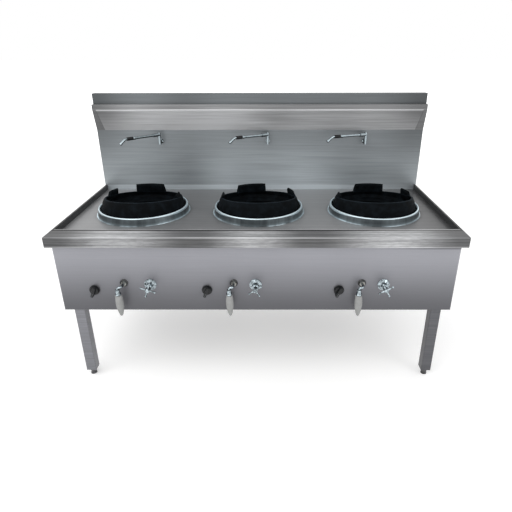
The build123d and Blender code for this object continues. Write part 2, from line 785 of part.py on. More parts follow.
# Pilot tubes rise beside each burner head
tube_start = y_gas + pilot_valve_radius
with BuildPart() as pilot_tubes:
    for x_from, x_burner in zip(knob_x, burner_x):
        x_to = x_burner - pilot_side
        with BuildLine() as tube_line:
            FilletPolyline(
                (x_from, tube_start, knob_height),
                (x_from, tube_start + tube_run, knob_height),
                (x_to, y_burner - drum_radius - drum_approach, knob_height),
                (x_to, y_burner - tube_to_burner, knob_height),
                (x_to, y_burner - tube_to_burner, burner_height + tube_rise),
                radius=tube_bend,
            )
        with BuildSketch(Plane(tube_line.line @ 0, z_dir=tube_line.line % 0)):
            Circle(pilot_tube_radius)
        sweep()
pilot_tubes.part.label = "pilot_tubes"
export_step(pilot_tubes.part, "parts/pilot_tubes.step")

# ---------------------------------------------------------------- water side
y_water = y_front + water_main_back
tap_body_radius = 16.0
tap_boss_top = tap_height + tap_body_radius + 6
tap_body_back = y_water + water_pipe_radius + 10
with BuildPart() as water_manifold:
    with BuildLine() as water_line:
        FilletPolyline(
            (tap_x[0] - main_stub, y_water, water_main_height),
            (water_inlet_x, y_water, water_main_height),
            (water_inlet_x, y_water, inlet_end),
            radius=2 * water_pipe_radius,
        )
    with BuildSketch(Plane(water_line.line @ 0, z_dir=water_line.line % 0)):
        Circle(water_pipe_radius)
    sweep()
    with BuildSketch(Plane.XY.offset(tap_boss_top)):
        with Locations(*[(x, y_water) for x in tap_x]):
            Circle(riser_radius)
    extrude(amount=water_main_height - tap_boss_top)
    with BuildSketch(Plane.XY.offset(inlet_end + inlet_nipple)):
        with Locations((water_inlet_x, y_water)):
            RegularPolygon(water_pipe_radius + union_wall, 6)
    extrude(amount=union_height)
water_manifold.part.label = "water_manifold"
export_step(water_manifold.part, "parts/water_manifold.step")

# Tap bodies: body behind the panel, domed flange in front, hexagon bonnet and neck
with BuildPart() as tap_bodies:
    for x in tap_x:
        with BuildSketch(forward(x, tap_height)):
            with BuildLine():
                Polyline(
                    (panel_face - tap_body_back, 0),
                    (panel_face - tap_body_back, tap_body_radius),
                    (-panel_sheet, tap_body_radius),
                    (-panel_sheet, spindle_radius + 6),
                    (0, spindle_radius + 6),
                    (0, tap_flange_radius),
                    (2, tap_flange_radius),
                    (8, tap_flange_radius - 10),
                    (11, spindle_radius + 8),
                    (34, spindle_radius + 8),
                    (38, spindle_radius + 4),
                    (tap_handle_reach - tap_hub_length - body_gap, spindle_radius + 3),
                    (tap_handle_reach - tap_hub_length - body_gap, 0),
                    close=True,
                )
            make_face()
        revolve(axis=Axis((x, panel_face, tap_height), (0, -1, 0)))
        with BuildSketch(facing(x, tap_height, panel_face - 14)):
            RegularPolygon(spindle_radius + 10, 6, major_radius=False)
        extrude(amount=14)
        with BuildSketch(Plane.XY.offset(tap_height)):
            with Locations((x, y_water)):
                Circle(riser_radius + 3)
        extrude(amount=tap_boss_top - tap_height)
        with BuildSketch(facing(x, tap_height, panel_face - spindle_root + 2)):
            Circle(spindle_radius + running_gap)
        extrude(amount=tap_handle_reach, mode=Mode.SUBTRACT)
tap_bodies.part.label = "tap_bodies"
export_step(tap_bodies.part, "parts/tap_bodies.step")

# Risers: back between the chambers, along behind them, then up inside the splash box to each spout
y_riser = y_rear - riser_to_rear
spout_z = worktop_height + spout_low + spout_post_radius
tail_back = y_face + panel_sheet + 2
lane_mid = burner_pitch / 2
lanes = (-lane_mid - riser_lane_gap, lane_mid - riser_lane_gap, lane_mid + riser_lane_gap)
with BuildPart() as risers:
    for x_tap, x_lane, x_spout in zip(tap_x, lanes, spout_x):
        with BuildLine() as riser_line:
            FilletPolyline(
                (x_tap, tap_body_back, tap_height),
                (x_tap, tap_body_back + riser_run, tap_height),
                (x_lane, tap_body_back + riser_run, tap_height),
                (x_lane, y_riser, tap_height),
                (x_spout, y_riser, tap_height),
                (x_spout, y_riser, spout_z),
                (x_spout, tail_back, spout_z),
                radius=riser_bend,
            )
        with BuildSketch(Plane(riser_line.line @ 0, z_dir=riser_line.line % 0)):
            Circle(riser_radius)
        sweep()
risers.part.label = "risers"
export_step(risers.part, "parts/risers.step")

# Spout posts: wall flange, stub and the lower half of the post with its swivel pin
y_post = y_face - spout_stand_off
joint_z = worktop_height + spout_joint
top_z = worktop_height + spout_top
pin_top = top_z - 6
pin_radius = spout_post_radius - 2.5
with BuildPart() as spout_posts:
    for x in spout_x:
        with BuildSketch(facing(x, spout_z, tail_back)):
            Circle(spout_stub_radius)
        extrude(amount=tail_back - y_face)
        with BuildSketch(facing(x, spout_z, y_face)):
            Circle(spout_post_radius + wall_flange)
        extrude(amount=wall_flange)
        with BuildSketch(facing(x, spout_z, y_face)):
            Circle(spout_stub_radius)
        extrude(amount=spout_stand_off)
        with BuildSketch(Plane.XY.offset(worktop_height + spout_low)):
            with Locations((x, y_post)):
                Circle(spout_post_radius)
        extrude(amount=spout_joint - spout_low)
        with BuildSketch(Plane.XY.offset(joint_z)):
            with Locations((x, y_post)):
                Circle(pin_radius)
        extrude(amount=pin_top - joint_z)
spout_posts.part.label = "spout_posts"
export_step(spout_posts.part, "parts/spout_posts.step")

# ---------------------------------------------------------------- moving pieces, station by station
arm_z = (joint_z + top_z) / 2
for side, x_knob, x_lever, x_tap, x_spout, knob_angle, tap_angle, swing in zip(
    sides, knob_x, lever_x, tap_x, spout_x, knob_turn, tap_turn, spout_swing
):
    # Pilot knob: turned base, a grip bar that runs out past it, and its stem
    with BuildPart() as knob:
        knob_back = panel_face - knob_neck - body_gap
        with BuildSketch(facing(x_knob, knob_height, knob_back)):
            Circle(knob_radius)
        extrude(amount=knob_skirt)
        with BuildSketch(facing(x_knob, knob_height, knob_back - knob_skirt)):
            Circle(knob_shoulder)
        extrude(amount=knob_base - knob_skirt, taper=12)
        lean = math.radians(knob_angle)
        with BuildSketch(facing(x_knob, knob_height, knob_back - knob_skirt)):
            with Locations((-knob_nose * math.sin(lean) / 2, -knob_nose * math.cos(lean) / 2)):
                SlotOverall(2 * knob_bar_radius + knob_nose, knob_bar_width, rotation=90 - knob_angle)
        extrude(amount=knob_depth - knob_skirt)
        fillet(knob.faces().sort_by(Axis.Y)[0].edges(), 2)
        with BuildSketch(facing(x_knob, knob_height, knob_back)):
            Circle(stem_radius)
        extrude(amount=-(y_gas - pilot_valve_radius - knob_back - 2))
    knob.part.label = f"knob_{side}"
    export_step(knob.part, f"parts/knob_{side}.step")

    # Gas lever: stem in the valve, crank forward, and a bell-ended arm that hangs in front of the panel
    lever_front = panel_face - lever_reach
    tip = Vector(x_lever - lever_tip_side, lever_front, lever_height - lever_drop)
    sleeve_head = Vector(x_lever - lever_side, lever_front, lever_height - lever_drop + sleeve_length)
    leg_up = (sleeve_head - tip).normalized()
    leg_across = Vector(leg_up.Z, 0, -leg_up.X)
    bell_foot = sleeve_head + leg_up * body_gap
    with BuildPart() as lever:
        with BuildLine() as lever_line:
            FilletPolyline(
                (x_lever, y_gas - 12, lever_height),
                (x_lever, lever_front, lever_height),
                bell_foot + leg_up * (bell_length + bell_neck),
                tip + leg_up * sleeve_cap,
                radius=lever_bend,
            )
        with BuildSketch(Plane(lever_line.line @ 0, z_dir=lever_line.line % 0)):
            Circle(lever_rod_radius)
        sweep()
        with BuildSketch(Plane(bell_foot, x_dir=leg_across, z_dir=(0, -1, 0))):
            with BuildLine():
                Polyline(
                    (0, 0),
                    (bell_radius - 1, 0),
                    (bell_radius, 2),
                    (bell_radius, 6),
                    (bell_radius - 1.5, 8),
                    (bell_top_radius, bell_length - 3),
                    (bell_top_radius - 2, bell_length),
                    (0, bell_length),
                    close=True,
                )
            make_face()
        revolve(axis=Axis(bell_foot, leg_up))
    lever.part.label = f"lever_{side}"
    export_step(lever.part, f"parts/lever_{side}.step")

    # Sleeve on the lever's arm: swells below its mouth and tapers to a blunt end
    sleeve_bore = lever_rod_radius + running_gap
    with BuildPart() as sleeve:
        with BuildSketch(Plane(tip, x_dir=leg_across, z_dir=(0, -1, 0))):
            with BuildLine():
                Polyline((0, sleeve_cap), (0, 0), (sleeve_end_radius - 3, 0), (sleeve_end_radius, sleeve_cap))
                Spline(
                    (sleeve_end_radius, sleeve_cap),
                    (sleeve_waist_radius, sleeve_length * 0.22),
                    (sleeve_swell_radius, sleeve_length * 0.55),
                    (sleeve_top_radius, sleeve_length - 2),
                )
                Polyline(
                    (sleeve_top_radius, sleeve_length - 2),
                    (sleeve_top_radius - 2, sleeve_length),
                    (sleeve_bore, sleeve_length),
                    (sleeve_bore, sleeve_cap),
                    (0, sleeve_cap),
                )
            make_face()
        revolve(axis=Axis(tip, leg_up))
    sleeve.part.label = f"sleeve_{side}"
    export_step(sleeve.part, f"parts/sleeve_{side}.step")

    # Tap handle: hub on its spindle, four arms with round ends, a low cap
    with BuildPart() as tap_handle:
        hub_back = panel_face - tap_handle_reach + tap_hub_length
        tap_end = tap_arm_span / 2
        with BuildSketch(facing(x_tap, tap_height, hub_back)):
            Circle(tap_hub_radius)
        extrude(amount=tap_hub_length)
        fillet(tap_handle.edges().sort_by(Axis.Y)[0], 3)
        with BuildSketch(facing(x_tap, tap_height, hub_back)):
            Circle(spindle_radius)
        extrude(amount=-(tap_handle_reach - tap_hub_length - spindle_root))
        hub_centre = Vector(x_tap, hub_back - tap_hub_length / 2, tap_height)
        for arm in range(4):
            angle = math.radians(tap_angle + 90 * arm)
            out = Vector(math.cos(angle), 0, math.sin(angle))
            with BuildSketch(Plane(origin=hub_centre, x_dir=out, z_dir=(0, -1, 0))):
                with BuildLine():
                    Polyline(
                        (0, 0),
                        (0, tap_arm_radius),
                        (tap_end - 9, tap_arm_radius - 1),
                        (tap_end - 7, tap_arm_radius + 0.8),
                        (tap_end - 3, tap_arm_radius + 0.8),
                        (tap_end, tap_arm_radius - 1.6),
                        (tap_end, 0),
                        close=True,
                    )
                make_face()
            revolve(axis=Axis(hub_centre, out))
    tap_handle.part.label = f"tap_handle_{side}"
    export_step(tap_handle.part, f"parts/tap_handle_{side}.step")

    # Spout arm: upper half of the post, collar, long arm that cones down to its grip, down-turned nozzle
    arm_way = Vector(-math.cos(math.radians(swing)), -math.sin(math.radians(swing)), 0)
    arm_root = Vector(x_spout, y_post, arm_z)
    arm_end = arm_root + arm_way * spout_arm_length
    nozzle_end = arm_end + arm_way * nozzle_run + Vector(0, 0, -nozzle_drop)
    nozzle_way = (nozzle_end - arm_end).normalized()
    grip_start = spout_arm_length - grip_from_end - grip_length
    tube_radius = spout_arm_radius - 1
    with BuildPart() as spout_arm:
        with BuildSketch(Plane.XY.offset(joint_z + body_gap)):
            with Locations((x_spout, y_post)):
                Circle(spout_post_radius)
        extrude(amount=top_z - joint_z - body_gap)
        with BuildLine() as arm_line:
            FilletPolyline(arm_root, arm_end, nozzle_end, radius=spout_bend)
        with BuildSketch(Plane(arm_line.line @ 0, z_dir=arm_line.line % 0)):
            Circle(tube_radius)
        sweep()
        with BuildSketch(Plane(arm_root, x_dir=arm_way, z_dir=arm_way.cross(Vector(0, 0, 1)))):
            with BuildLine():
                Polyline(
                    (0, 0),
                    (0, spout_collar_radius),
                    (spout_collar_length - 2, spout_collar_radius),
                    (spout_collar_length, spout_arm_radius),
                    (grip_start - spout_cone_length, spout_arm_radius),
                    (grip_start - spout_cone_length, grip_radius),
                    (grip_start - spout_cone_length / 2, grip_radius),
                    (grip_start - body_gap, tube_radius),
                    (grip_start - body_gap, 0),
                    close=True,
                )
            make_face()
        revolve(axis=Axis(arm_root, arm_way))
        with BuildSketch(Plane(nozzle_end, z_dir=-nozzle_way)):
            Circle(spout_arm_radius + 0.5)
        extrude(amount=nozzle_ring)
        with BuildSketch(Plane.XY.offset(joint_z)):
            with Locations((x_spout, y_post)):
                Circle(pin_radius + running_gap)
        extrude(amount=pin_top + body_gap - joint_z, mode=Mode.SUBTRACT)
    spout_arm.part.label = f"spout_arm_{side}"
    export_step(spout_arm.part, f"parts/spout_arm_{side}.step")

    with BuildPart() as grip:
        with BuildSketch(Plane(arm_root + arm_way * grip_start, z_dir=arm_way)):
            Circle(grip_radius)
            Circle(tube_radius + running_gap, mode=Mode.SUBTRACT)
        extrude(amount=grip_length)
    grip.part.label = f"spout_grip_{side}"
    export_step(grip.part, f"parts/spout_grip_{side}.step")
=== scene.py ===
"""Finishes, small fittings and studio for a three-burner wok range, as a Blender add-on."""

import json
import math

import bmesh
import bpy
from bpy.props import FloatProperty, FloatVectorProperty, PointerProperty
from mathutils import Matrix, Vector


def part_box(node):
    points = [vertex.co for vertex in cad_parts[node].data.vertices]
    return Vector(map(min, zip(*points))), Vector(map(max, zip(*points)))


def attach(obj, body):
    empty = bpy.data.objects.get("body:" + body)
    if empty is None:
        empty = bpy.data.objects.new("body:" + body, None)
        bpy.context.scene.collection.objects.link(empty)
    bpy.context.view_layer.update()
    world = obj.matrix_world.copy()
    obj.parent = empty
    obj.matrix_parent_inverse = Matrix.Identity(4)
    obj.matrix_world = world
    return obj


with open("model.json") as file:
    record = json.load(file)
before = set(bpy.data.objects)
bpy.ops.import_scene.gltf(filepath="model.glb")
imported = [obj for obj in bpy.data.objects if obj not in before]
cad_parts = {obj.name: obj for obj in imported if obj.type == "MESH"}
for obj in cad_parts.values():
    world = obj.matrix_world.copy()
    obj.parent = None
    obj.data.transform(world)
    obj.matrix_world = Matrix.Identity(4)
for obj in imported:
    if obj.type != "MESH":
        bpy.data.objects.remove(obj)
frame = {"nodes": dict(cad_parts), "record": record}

bl_info = {
    "name": "Wok Range Finishes",
    "version": (1, 0, 0),
    "blender": (4, 5, 0),
    "location": "View3D > Sidebar > Wok Range",
    "description": "Dresses a wok range in steel, cast iron and chrome, and stands it in a studio",
    "category": "Object",
}

STATIONS = ("left", "centre", "right")
LEGS = ("front_left", "front_right", "rear_left", "rear_right")
UP, FORWARD = Vector((0, 0, 1)), Vector((0, -1, 0))
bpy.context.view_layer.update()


# ---------------------------------------------------------------- places read from the frame
def middle(node):
    """The middle of a CAD node's box."""
    low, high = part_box(node)
    return (low + high) / 2


WORKTOP_LOW, WORKTOP_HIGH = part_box("worktop")
SPLASH_LOW, SPLASH_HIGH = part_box("splash")
PANEL_LOW, PANEL_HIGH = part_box("front_panel")
VALANCE_LOW, VALANCE_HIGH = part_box("valance")
DECK_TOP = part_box("deck_plate")[1].z
RECESS_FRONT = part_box("deck_plate")[0].y
RECESS_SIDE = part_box("deck_plate")[1].x
BURNERS = {side: middle(f"collar_{side}") for side in STATIONS}
PIVOTS = {
    joint["name"]: Vector(joint["pos_m"])
    for joint in frame["record"]["behaviour"]["joints"]
    if "pos_m" in joint
}

# ---------------------------------------------------------------- sizes not in the frame, in metres
MITRE_SLOPE = 3.25  # how far back the worktop's corner seams run for each metre outwards
VALANCE_FOLD = 0.114  # height of the valance's bend over its lower edge
VALANCE_TAPER = 0.23  # how far its mitred ends draw in for each metre down
COLLAR_RADIUS = 0.24
RIM_FRONT = 0.181  # how far a cast ring's rim reaches before the burner's middle
RIM_SLOPE = 0.054 / 0.396
PILOT_AWAY = Vector((0.070, 0.040, 0.0))  # from a pilot tip to the burner's middle
KNOB_NECK = 0.026  # depth of a knob from its face to its neck ring
POINTER_DROP = 0.019  # from a knob's axis to the middle of its pointer line
FOOT_NUT_HEIGHT = 0.0088
COVER_FACE = 0.0017  # from the splash cover's rearmost edge to its riveted sheet
RIVET_INSET, PANEL_INSET, PANEL_TOP_INSET = 0.02, 0.03, 0.08
INLET_INSET = 0.006  # from a main's right end to the side of its inlet
BANDS_LEFT, BANDS_RIGHT = 0.12, 0.25  # from a main's ends to its outer bands
PILOT_TIP_DROP, PILOT_NUT_DROP = 0.012, 0.018  # below the top of a pilot tube
HEAD_STEP = 0.020  # from a burner's highest point down to its rim
LET_IN = 0.001  # the small step by which a piece is set into its neighbour or off its end
SPOUT_REACH = 0.212  # from the swivel to the arm's bend
NOZZLE_OUT, NOZZLE_DOWN = 0.034, 0.025  # from that bend to the nozzle's mouth
SPOUT_NUT_HEIGHT = 0.0085  # from the foot of a spout's post to its wall nut
MOUTH_LEFT = 0.001  # from the middle of a leaning sleeve's box to its mouth

# ---------------------------------------------------------------- each station's angles, in degrees
SPOUT_SWING = {"left": 44.0, "centre": 31.0, "right": 21.0}
KNOB_LEAN = {"left": 21.0, "centre": 24.0, "right": 28.0}

# ---------------------------------------------------------------- painted light and shade
# broad painted highlights in the sheet steel: centre, reach and gain of each zone along x
WORKTOP_PAINTED_SHEEN = ((-0.61, 0.29, 1.7), (-0.02, 0.24, 1.5), (0.6, 0.31, 1.9))
DECK_PAINTED_SHEEN = ((-0.92, 0.42, 0.55), (0.3, 0.46, 0.5))
SPLASH_PAINTED_SHEEN = ((-0.74, 0.36, 0.3), (-0.2, 0.3, 0.12))
VALANCE_PAINTED_SHEEN = ((-0.72, 0.28, 0.4), (-0.2, 0.34, 0.3))
# each leg's steel painted lighter or darker as light and shade
LEG_PAINTED_LIGHT = {"front_left": 1.1, "front_right": 0.6, "rear_left": 0.8, "rear_right": 0.7}
LIT_WAY = (0.0, -0.91, 0.41)  # the way in which plated parts are painted lightest, as a painted highlight

# ---------------------------------------------------------------- studio
LAMPS = (  # name, place, target, size, share of the key lamp's power
    ("key", (-1.6, -1.8, 3.4), (0, 0, 0.8), (3.6, 2.6), 1.0),
    ("fill", (2.6, -2.4, 2.0), (0, 0, 0.7), (1.6, 1.6), 0.3),
)
CAMERA_SHIFT = (-0.02725, -0.00754)
CAMERA_YAW, CAMERA_ROLL = -0.005, -0.002
FLOOR_LIFT = 0.3  # what the floor shows near the range beyond its own light
FLOOR_FADE = (2.0, 12.0)  # where that lift grows to a full white


# ---------------------------------------------------------------- settings a user would change
def colour_setting(name, description, default):
    """A colour that the user may change."""
    return FloatVectorProperty(
        name=name, description=description, subtype="COLOR", size=3, min=0, max=1, default=default
    )


class RangeFinishes(bpy.types.PropertyGroup):
    """Colours of the range and the pitch of its brushed lines"""

    top_colour: colour_setting(
        "Worktop steel", "Colour of the brushed steel worktop and deck", (0.2, 0.202, 0.206)
    )
    wall_colour: colour_setting(
        "Splash steel", "Colour of the brushed steel splash", (0.19, 0.208, 0.219)
    )
    body_colour: colour_setting(
        "Body steel", "Colour of the satin steel body panels", (0.2, 0.202, 0.22)
    )
    spun_colour: colour_setting(
        "Spun steel", "Colour of the spun collars round the burners", (0.72, 0.85, 0.91)
    )
    iron_colour: colour_setting(
        "Cast iron", "Colour of the cast wok rings", (0.0032, 0.0046, 0.006)
    )
    chrome_colour: colour_setting(
        "Chrome", "Colour of the plated taps, levers and spouts", (0.38, 0.44, 0.47)
    )
    sleeve_colour: colour_setting(
        "Lever sleeve", "Colour of the grey sleeves on the gas levers", (0.3, 0.305, 0.3)
    )
    brush_pitch: FloatProperty(
        name="Brush pitch",
        description="Spacing of the brushed lines in the sheet steel",
        subtype="DISTANCE",
        unit="LENGTH",
        default=0.0035,
        min=0.0005,
        max=0.02,
    )


class StudioSettings(bpy.types.PropertyGroup):
    """Camera, floor and light"""

    lens: FloatProperty(
        name="Lens",
        description="Focal length of the camera, in millimetres on a 36 mm sensor",
        unit="CAMERA",
        default=31.957,
        min=10,
        max=200,
    )
    camera_place: FloatVectorProperty(
        name="Camera place",
        description="Where the camera stands",
        subtype="TRANSLATION",
        unit="LENGTH",
        size=3,
        default=(0.0711, -2.2862, 1.5670),
    )
    pitch: FloatProperty(
        name="Pitch",
        description="How far the camera looks down",
        subtype="ANGLE",
        unit="ROTATION",
        default=0.42361,
    )
    floor_reach: FloatProperty(
        name="Floor reach",
        description="Half the width of the pale floor",
        subtype="DISTANCE",
        unit="LENGTH",
        default=60.0,
        min=5,
        max=100,
    )
    key_power: FloatProperty(
        name="Key lamp",
        description="Power of the large lamp overhead, in watts",
        unit="POWER",
        default=45.0,
        min=0,
        max=1000,
    )
    sky_strength: FloatProperty(
        name="Surround",
        description="Strength of the even light from all round",
        subtype="UNSIGNED",
        default=0.9,
        min=0,
        max=3,
    )


# ---------------------------------------------------------------- shader building
class Value:
    """A shader socket that takes part in Python expressions."""

    def __init__(self, shader, socket):
        self.shader = shader
        self.socket = socket

    def maths(self, operation, left, right=0.0):
        """One maths node on two values or numbers."""
        inputs = {0: left, 1: right}
        return self.shader.node("ShaderNodeMath", {"operation": operation}, inputs).value()

    def __add__(self, other):
        return self.maths("ADD", self, other)

    def __sub__(self, other):
        return self.maths("SUBTRACT", self, other)

    def __rsub__(self, other):
        return self.maths("SUBTRACT", other, self)

    def __mul__(self, other):
        return self.maths("MULTIPLY", self, other)

    def __truediv__(self, other):
        return self.maths("DIVIDE", self, other)

    def __rtruediv__(self, other):
        return self.maths("DIVIDE", other, self)

    def __pow__(self, other):
        return self.maths("POWER", self, other)

    def __abs__(self):
        return self.maths("ABSOLUTE", self)

    def larger(self, other):
        """The larger of the two."""
        return self.maths("MAXIMUM", self, other)

    __radd__ = __add__
    __rmul__ = __mul__


class Node:
    """One shader node, with its outputs as values."""

    def __init__(self, shader, node):
        self.shader = shader
        self.node = node

    def value(self, name=0):
        """One output, by its place or its name."""
        return Value(self.shader, self.node.outputs[name])


class Shader:
    """A node tree with one method that makes its nodes, and the handful of patterns used here."""

    def __init__(self, name, tree=None):
        self.material = None
        if tree is None:
            self.material = bpy.data.materials.new(name)
            self.material.use_nodes = True
            tree = self.material.node_tree
        self.tree = tree
        self.tree.nodes.clear()
        self.point = None
        if self.material:
            self.surface = self.node("ShaderNodeBsdfPrincipled", {}, {})
            self.node("ShaderNodeOutputMaterial", {}, {"Surface": self.surface.value()})

    def node(self, kind, settings, inputs):
        """Makes a node of any kind, with its settings and what goes into it."""
        made = self.tree.nodes.new(kind)
        for key, value in settings.items():
            setattr(made, key, value)
        for key, value in inputs.items():
            self.feed(made.inputs[key], value)
        return Node(self, made)

    def feed(self, socket, value):
        """Links a value to a socket, or writes a plain number or colour into it."""
        if isinstance(value, Value):
            self.tree.links.new(value.socket, socket)
        else:
            socket.default_value = value

    def set(self, **inputs):
        """Sets the surface's inputs by their names, in small letters with underscores."""
        for key, value in inputs.items():
            label = key.replace("_", " ").title().replace("Ior", "IOR")
            self.feed(self.surface.node.inputs[label], value)

    def place(self):
        """Object coordinates: metres in the range's own frame."""
        if self.point is None:
            self.point = self.node("ShaderNodeTexCoord", {}, {}).value("Object")
        return self.point

    def axes(self):
        """The place as three numbers."""
        split = self.node("ShaderNodeSeparateXYZ", {}, {0: self.place()})
        return split.value(0), split.value(1), split.value(2)

    def stretched(self, scale, offset=(0, 0, 0)):
        """The place, multiplied by a scale on each axis."""
        mapping = {"Vector": self.place(), "Scale": scale, "Location": offset}
        return self.node("ShaderNodeMapping", {}, mapping).value()

    def joined(self, x, y, z=0.0):
        """Three numbers as one vector."""
        return self.node("ShaderNodeCombineXYZ", {}, {0: x, 1: y, 2: z}).value()

    def noise(self, vector, scale=1.0, detail=2.0, roughness=0.5):
        """Cloudy noise from 0 to 1, mostly between 0.3 and 0.7."""
        inputs = {"Vector": vector, "Scale": scale, "Detail": detail, "Roughness": roughness}
        return self.node("ShaderNodeTexNoise", {}, inputs).value()

    def mix(self, factor, first, second):
        """A colour between two others."""
        inputs = {0: factor, 6: first, 7: second}
        return self.node("ShaderNodeMix", {"data_type": "RGBA"}, inputs).value(2)

    def tint(self, level, colour, reach=3.2):
        """A colour at a level: 1 gives it as written, 0 gives black."""
        return self.mix(level / reach, (0, 0, 0, 1), rgba(colour, reach))

    def smooth(self, value, low, high):
        """0 at low, 1 at high, smooth between."""
        inputs = {"Value": value, "From Min": low, "From Max": high, "To Min": 0.0, "To Max": 1.0}
        return self.node("ShaderNodeMapRange", {"interpolation_type": "SMOOTHSTEP"}, inputs).value()

    def zone(self, value, centre, reach):
        """1 at the centre, falling smoothly to 0 at the reach."""
        return 1.0 - self.smooth(abs(value - centre), 0.0, reach)

    def painted_highlights(self, value, zones):
        """Painted highlights: several zones added up, each with its centre, reach and gain."""
        parts = [self.zone(value, centre, reach) * gain for centre, reach, gain in zones]
        return sum(parts[1:], parts[0])

    def bump(self, height, distance):
        """A normal from a height of 0 to 1 that stands for a distance in metres."""
        inputs = {"Height": height, "Distance": distance, "Strength": 1.0}
        return self.node("ShaderNodeBump", {}, inputs).value()


def rgba(colour, level=1.0):
    """A colour at a level, with its fourth channel full."""
    return tuple(channel * level for channel in colour[:3]) + (1,)


class Brushed(Shader):
    """Sheet steel: fine lines along one axis, soft streaks beside them and faint clouds."""

    def __init__(self, name, pitch, along="X", seed=0.0):
        super().__init__(name)
        self.lines = self.marks(pitch, 0.010, along, seed, 2.0)
        self.streaks = self.marks(pitch * 3.2, 0.022, along, seed + 3.7, 3.0)
        self.cloud = self.noise(self.stretched((1.9, 1.9, 1.9), (seed, seed + 2.2, 5.1)))

    def marks(self, size, stretch, along, seed, detail):
        """Long thin marks, from 0 to 1, further apart on level faces than on upright ones."""
        scale = [1.0 / size, 0.45 / size, 1.0 / size]
        scale["XYZ".index(along)] = stretch / size
        grain = self.noise(self.stretched(scale, (seed, seed * 0.7, seed * 1.3)), 1.0, detail, 0.62)
        return self.smooth(grain, 0.3, 0.7)

    def finish(self, level, colour, depth, rough=0.38, sheen=0.5):
        """Sets the steel from its level, with its marks in tone, gloss and relief."""
        grain = 1.0 + (self.lines - 0.5) * (0.34 * depth) + (self.streaks - 0.5) * (0.36 * depth)
        grain = grain + (self.cloud - 0.5) * 0.24
        self.set(base_color=self.tint(level * grain, colour))
        self.set(roughness=rough + (self.streaks - 0.5) * 0.1 + (self.cloud - 0.5) * 0.1)
        self.set(metallic=0.45, specular_ior_level=sheen)
        self.set(normal=self.bump(self.lines * 0.6 + self.streaks * 0.4, 0.00004 * depth))
        return self.material


def plain_steel(name, colour, pitch, along="X", tone=1.0, seed=0.0, depth=0.4):
    """Brushed sheet with its own marks at a given level, a little darker near the floor as painted
    shade.
    """
    shader = Brushed(name, pitch, along, seed)
    z = shader.axes()[2]
    # painted shade: darker at the foot, lighter as it climbs
    foot, climb = tone * 0.86, tone * 0.2
    return shader.finish(foot + shader.smooth(z, 0.0, 1.0) * climb, colour, depth)


def worktop_steel(finish):
    """The worktop: three painted highlights on its ledge, mitred side rims painted dark as shade,
    painted highlights on its bends and lower edge, a painted shadow line at the ledge's rear edge.
    """
    shader = Brushed("worktop_steel", finish.brush_pitch)
    x, y, z = shader.axes()
    front, back = WORKTOP_LOW.y, y - RECESS_FRONT
    ledge = 1.0 - shader.smooth(y, front + 0.12, front + 0.2)
    # painted highlights along the front ledge
    painted_sheen = shader.painted_highlights(x, WORKTOP_PAINTED_SHEEN) * ledge
    # painted shade towards both ends
    ends = shader.smooth(abs(x), 0.7, 0.95)
    upper = shader.smooth(z, WORKTOP_HIGH.z - 0.002, WORKTOP_HIGH.z - 0.001)

    # painted glints along short brush strokes
    speckle = shader.noise(shader.stretched((26.0, 85.0, 230.0), (0.3, 1.7, 0.9)), 1.0, 3.0, 0.7)
    glint = shader.smooth(speckle, 0.38, 0.66)
    level = 0.74 + painted_sheen * (0.86 + glint * 0.28) - ends * 0.22 + (glint - 0.5) * 0.06

    # the ledge's front drop face painted darker as shade
    drop = 1.0 - shader.smooth(z, WORKTOP_HIGH.z - 0.004, WORKTOP_HIGH.z - 0.002)
    level = level - drop * (0.17 + painted_sheen * 0.18 - ends * 0.2)
    # a painted highlight along the front bend
    off_bend = abs(y - front).larger(abs(z - WORKTOP_HIGH.z))
    bend = 1.0 - shader.smooth(off_bend, 0.0035, 0.0075)
    level = level + bend * (1.1 - painted_sheen * 0.35 - ends * 0.55)
    # a painted highlight along the lower edge of the drop, strongest towards the ends
    hem = 1.0 - shader.smooth(z, WORKTOP_LOW.z + 0.004, WORKTOP_LOW.z + 0.007)
    level = level + hem * (shader.smooth(abs(x + 0.05), 0.55, 0.85) * 0.7 - 0.02)

    # a painted shadow line just in front of the rear bend, lighter towards the right
    joint = shader.smooth(back, -0.021, -0.017) * upper
    level = level * (1.0 - joint * (0.96 - shader.smooth(x, 0.45, 0.8) * 0.45))
    # a painted highlight on the rear bend into the well
    rear_bend_highlight = shader.smooth(back, -0.006, -0.004) * upper
    level = level + rear_bend_highlight * (3.0 - ends)

    mitre = RECESS_FRONT - (abs(x) - RECESS_SIDE) * MITRE_SLOPE
    # the side rims beside the well painted dark as shade
    beside = shader.smooth(abs(x), RECESS_SIDE - 0.002, RECESS_SIDE - 0.0005)
    rim = beside * shader.smooth(y - mitre, -0.002, 0.002)
    level = level + rim * (0.36 - upper * 0.15 - level)
    seam = beside * shader.zone(y, mitre, 0.005)
    level = level * (1.0 - seam * 0.55)
    return shader.finish(level, finish.top_colour, 1.1, sheen=0.1)


def deck_steel(finish):
    """The deck: painted highlights at its left end and right of its middle, painted shade at its
    right end and round the collars.
    """
    shader = Brushed("deck_steel", finish.brush_pitch, seed=1.4)
    x, y, _ = shader.axes()
    # painted highlights, and painted shade towards the right end
    level = 0.92 + shader.painted_highlights(x, DECK_PAINTED_SHEEN) - shader.smooth(x, 0.68, 0.95) * 0.42
    for side in STATIONS:
        away = ((x - BURNERS[side].x) ** 2.0 + (y - BURNERS[side].y) ** 2.0) ** 0.5
        # painted shadow round each collar
        level = level - (1.0 - shader.smooth(away, COLLAR_RADIUS, COLLAR_RADIUS + 0.022)) * 0.22
    return shader.finish(level, finish.top_colour, 0.35)


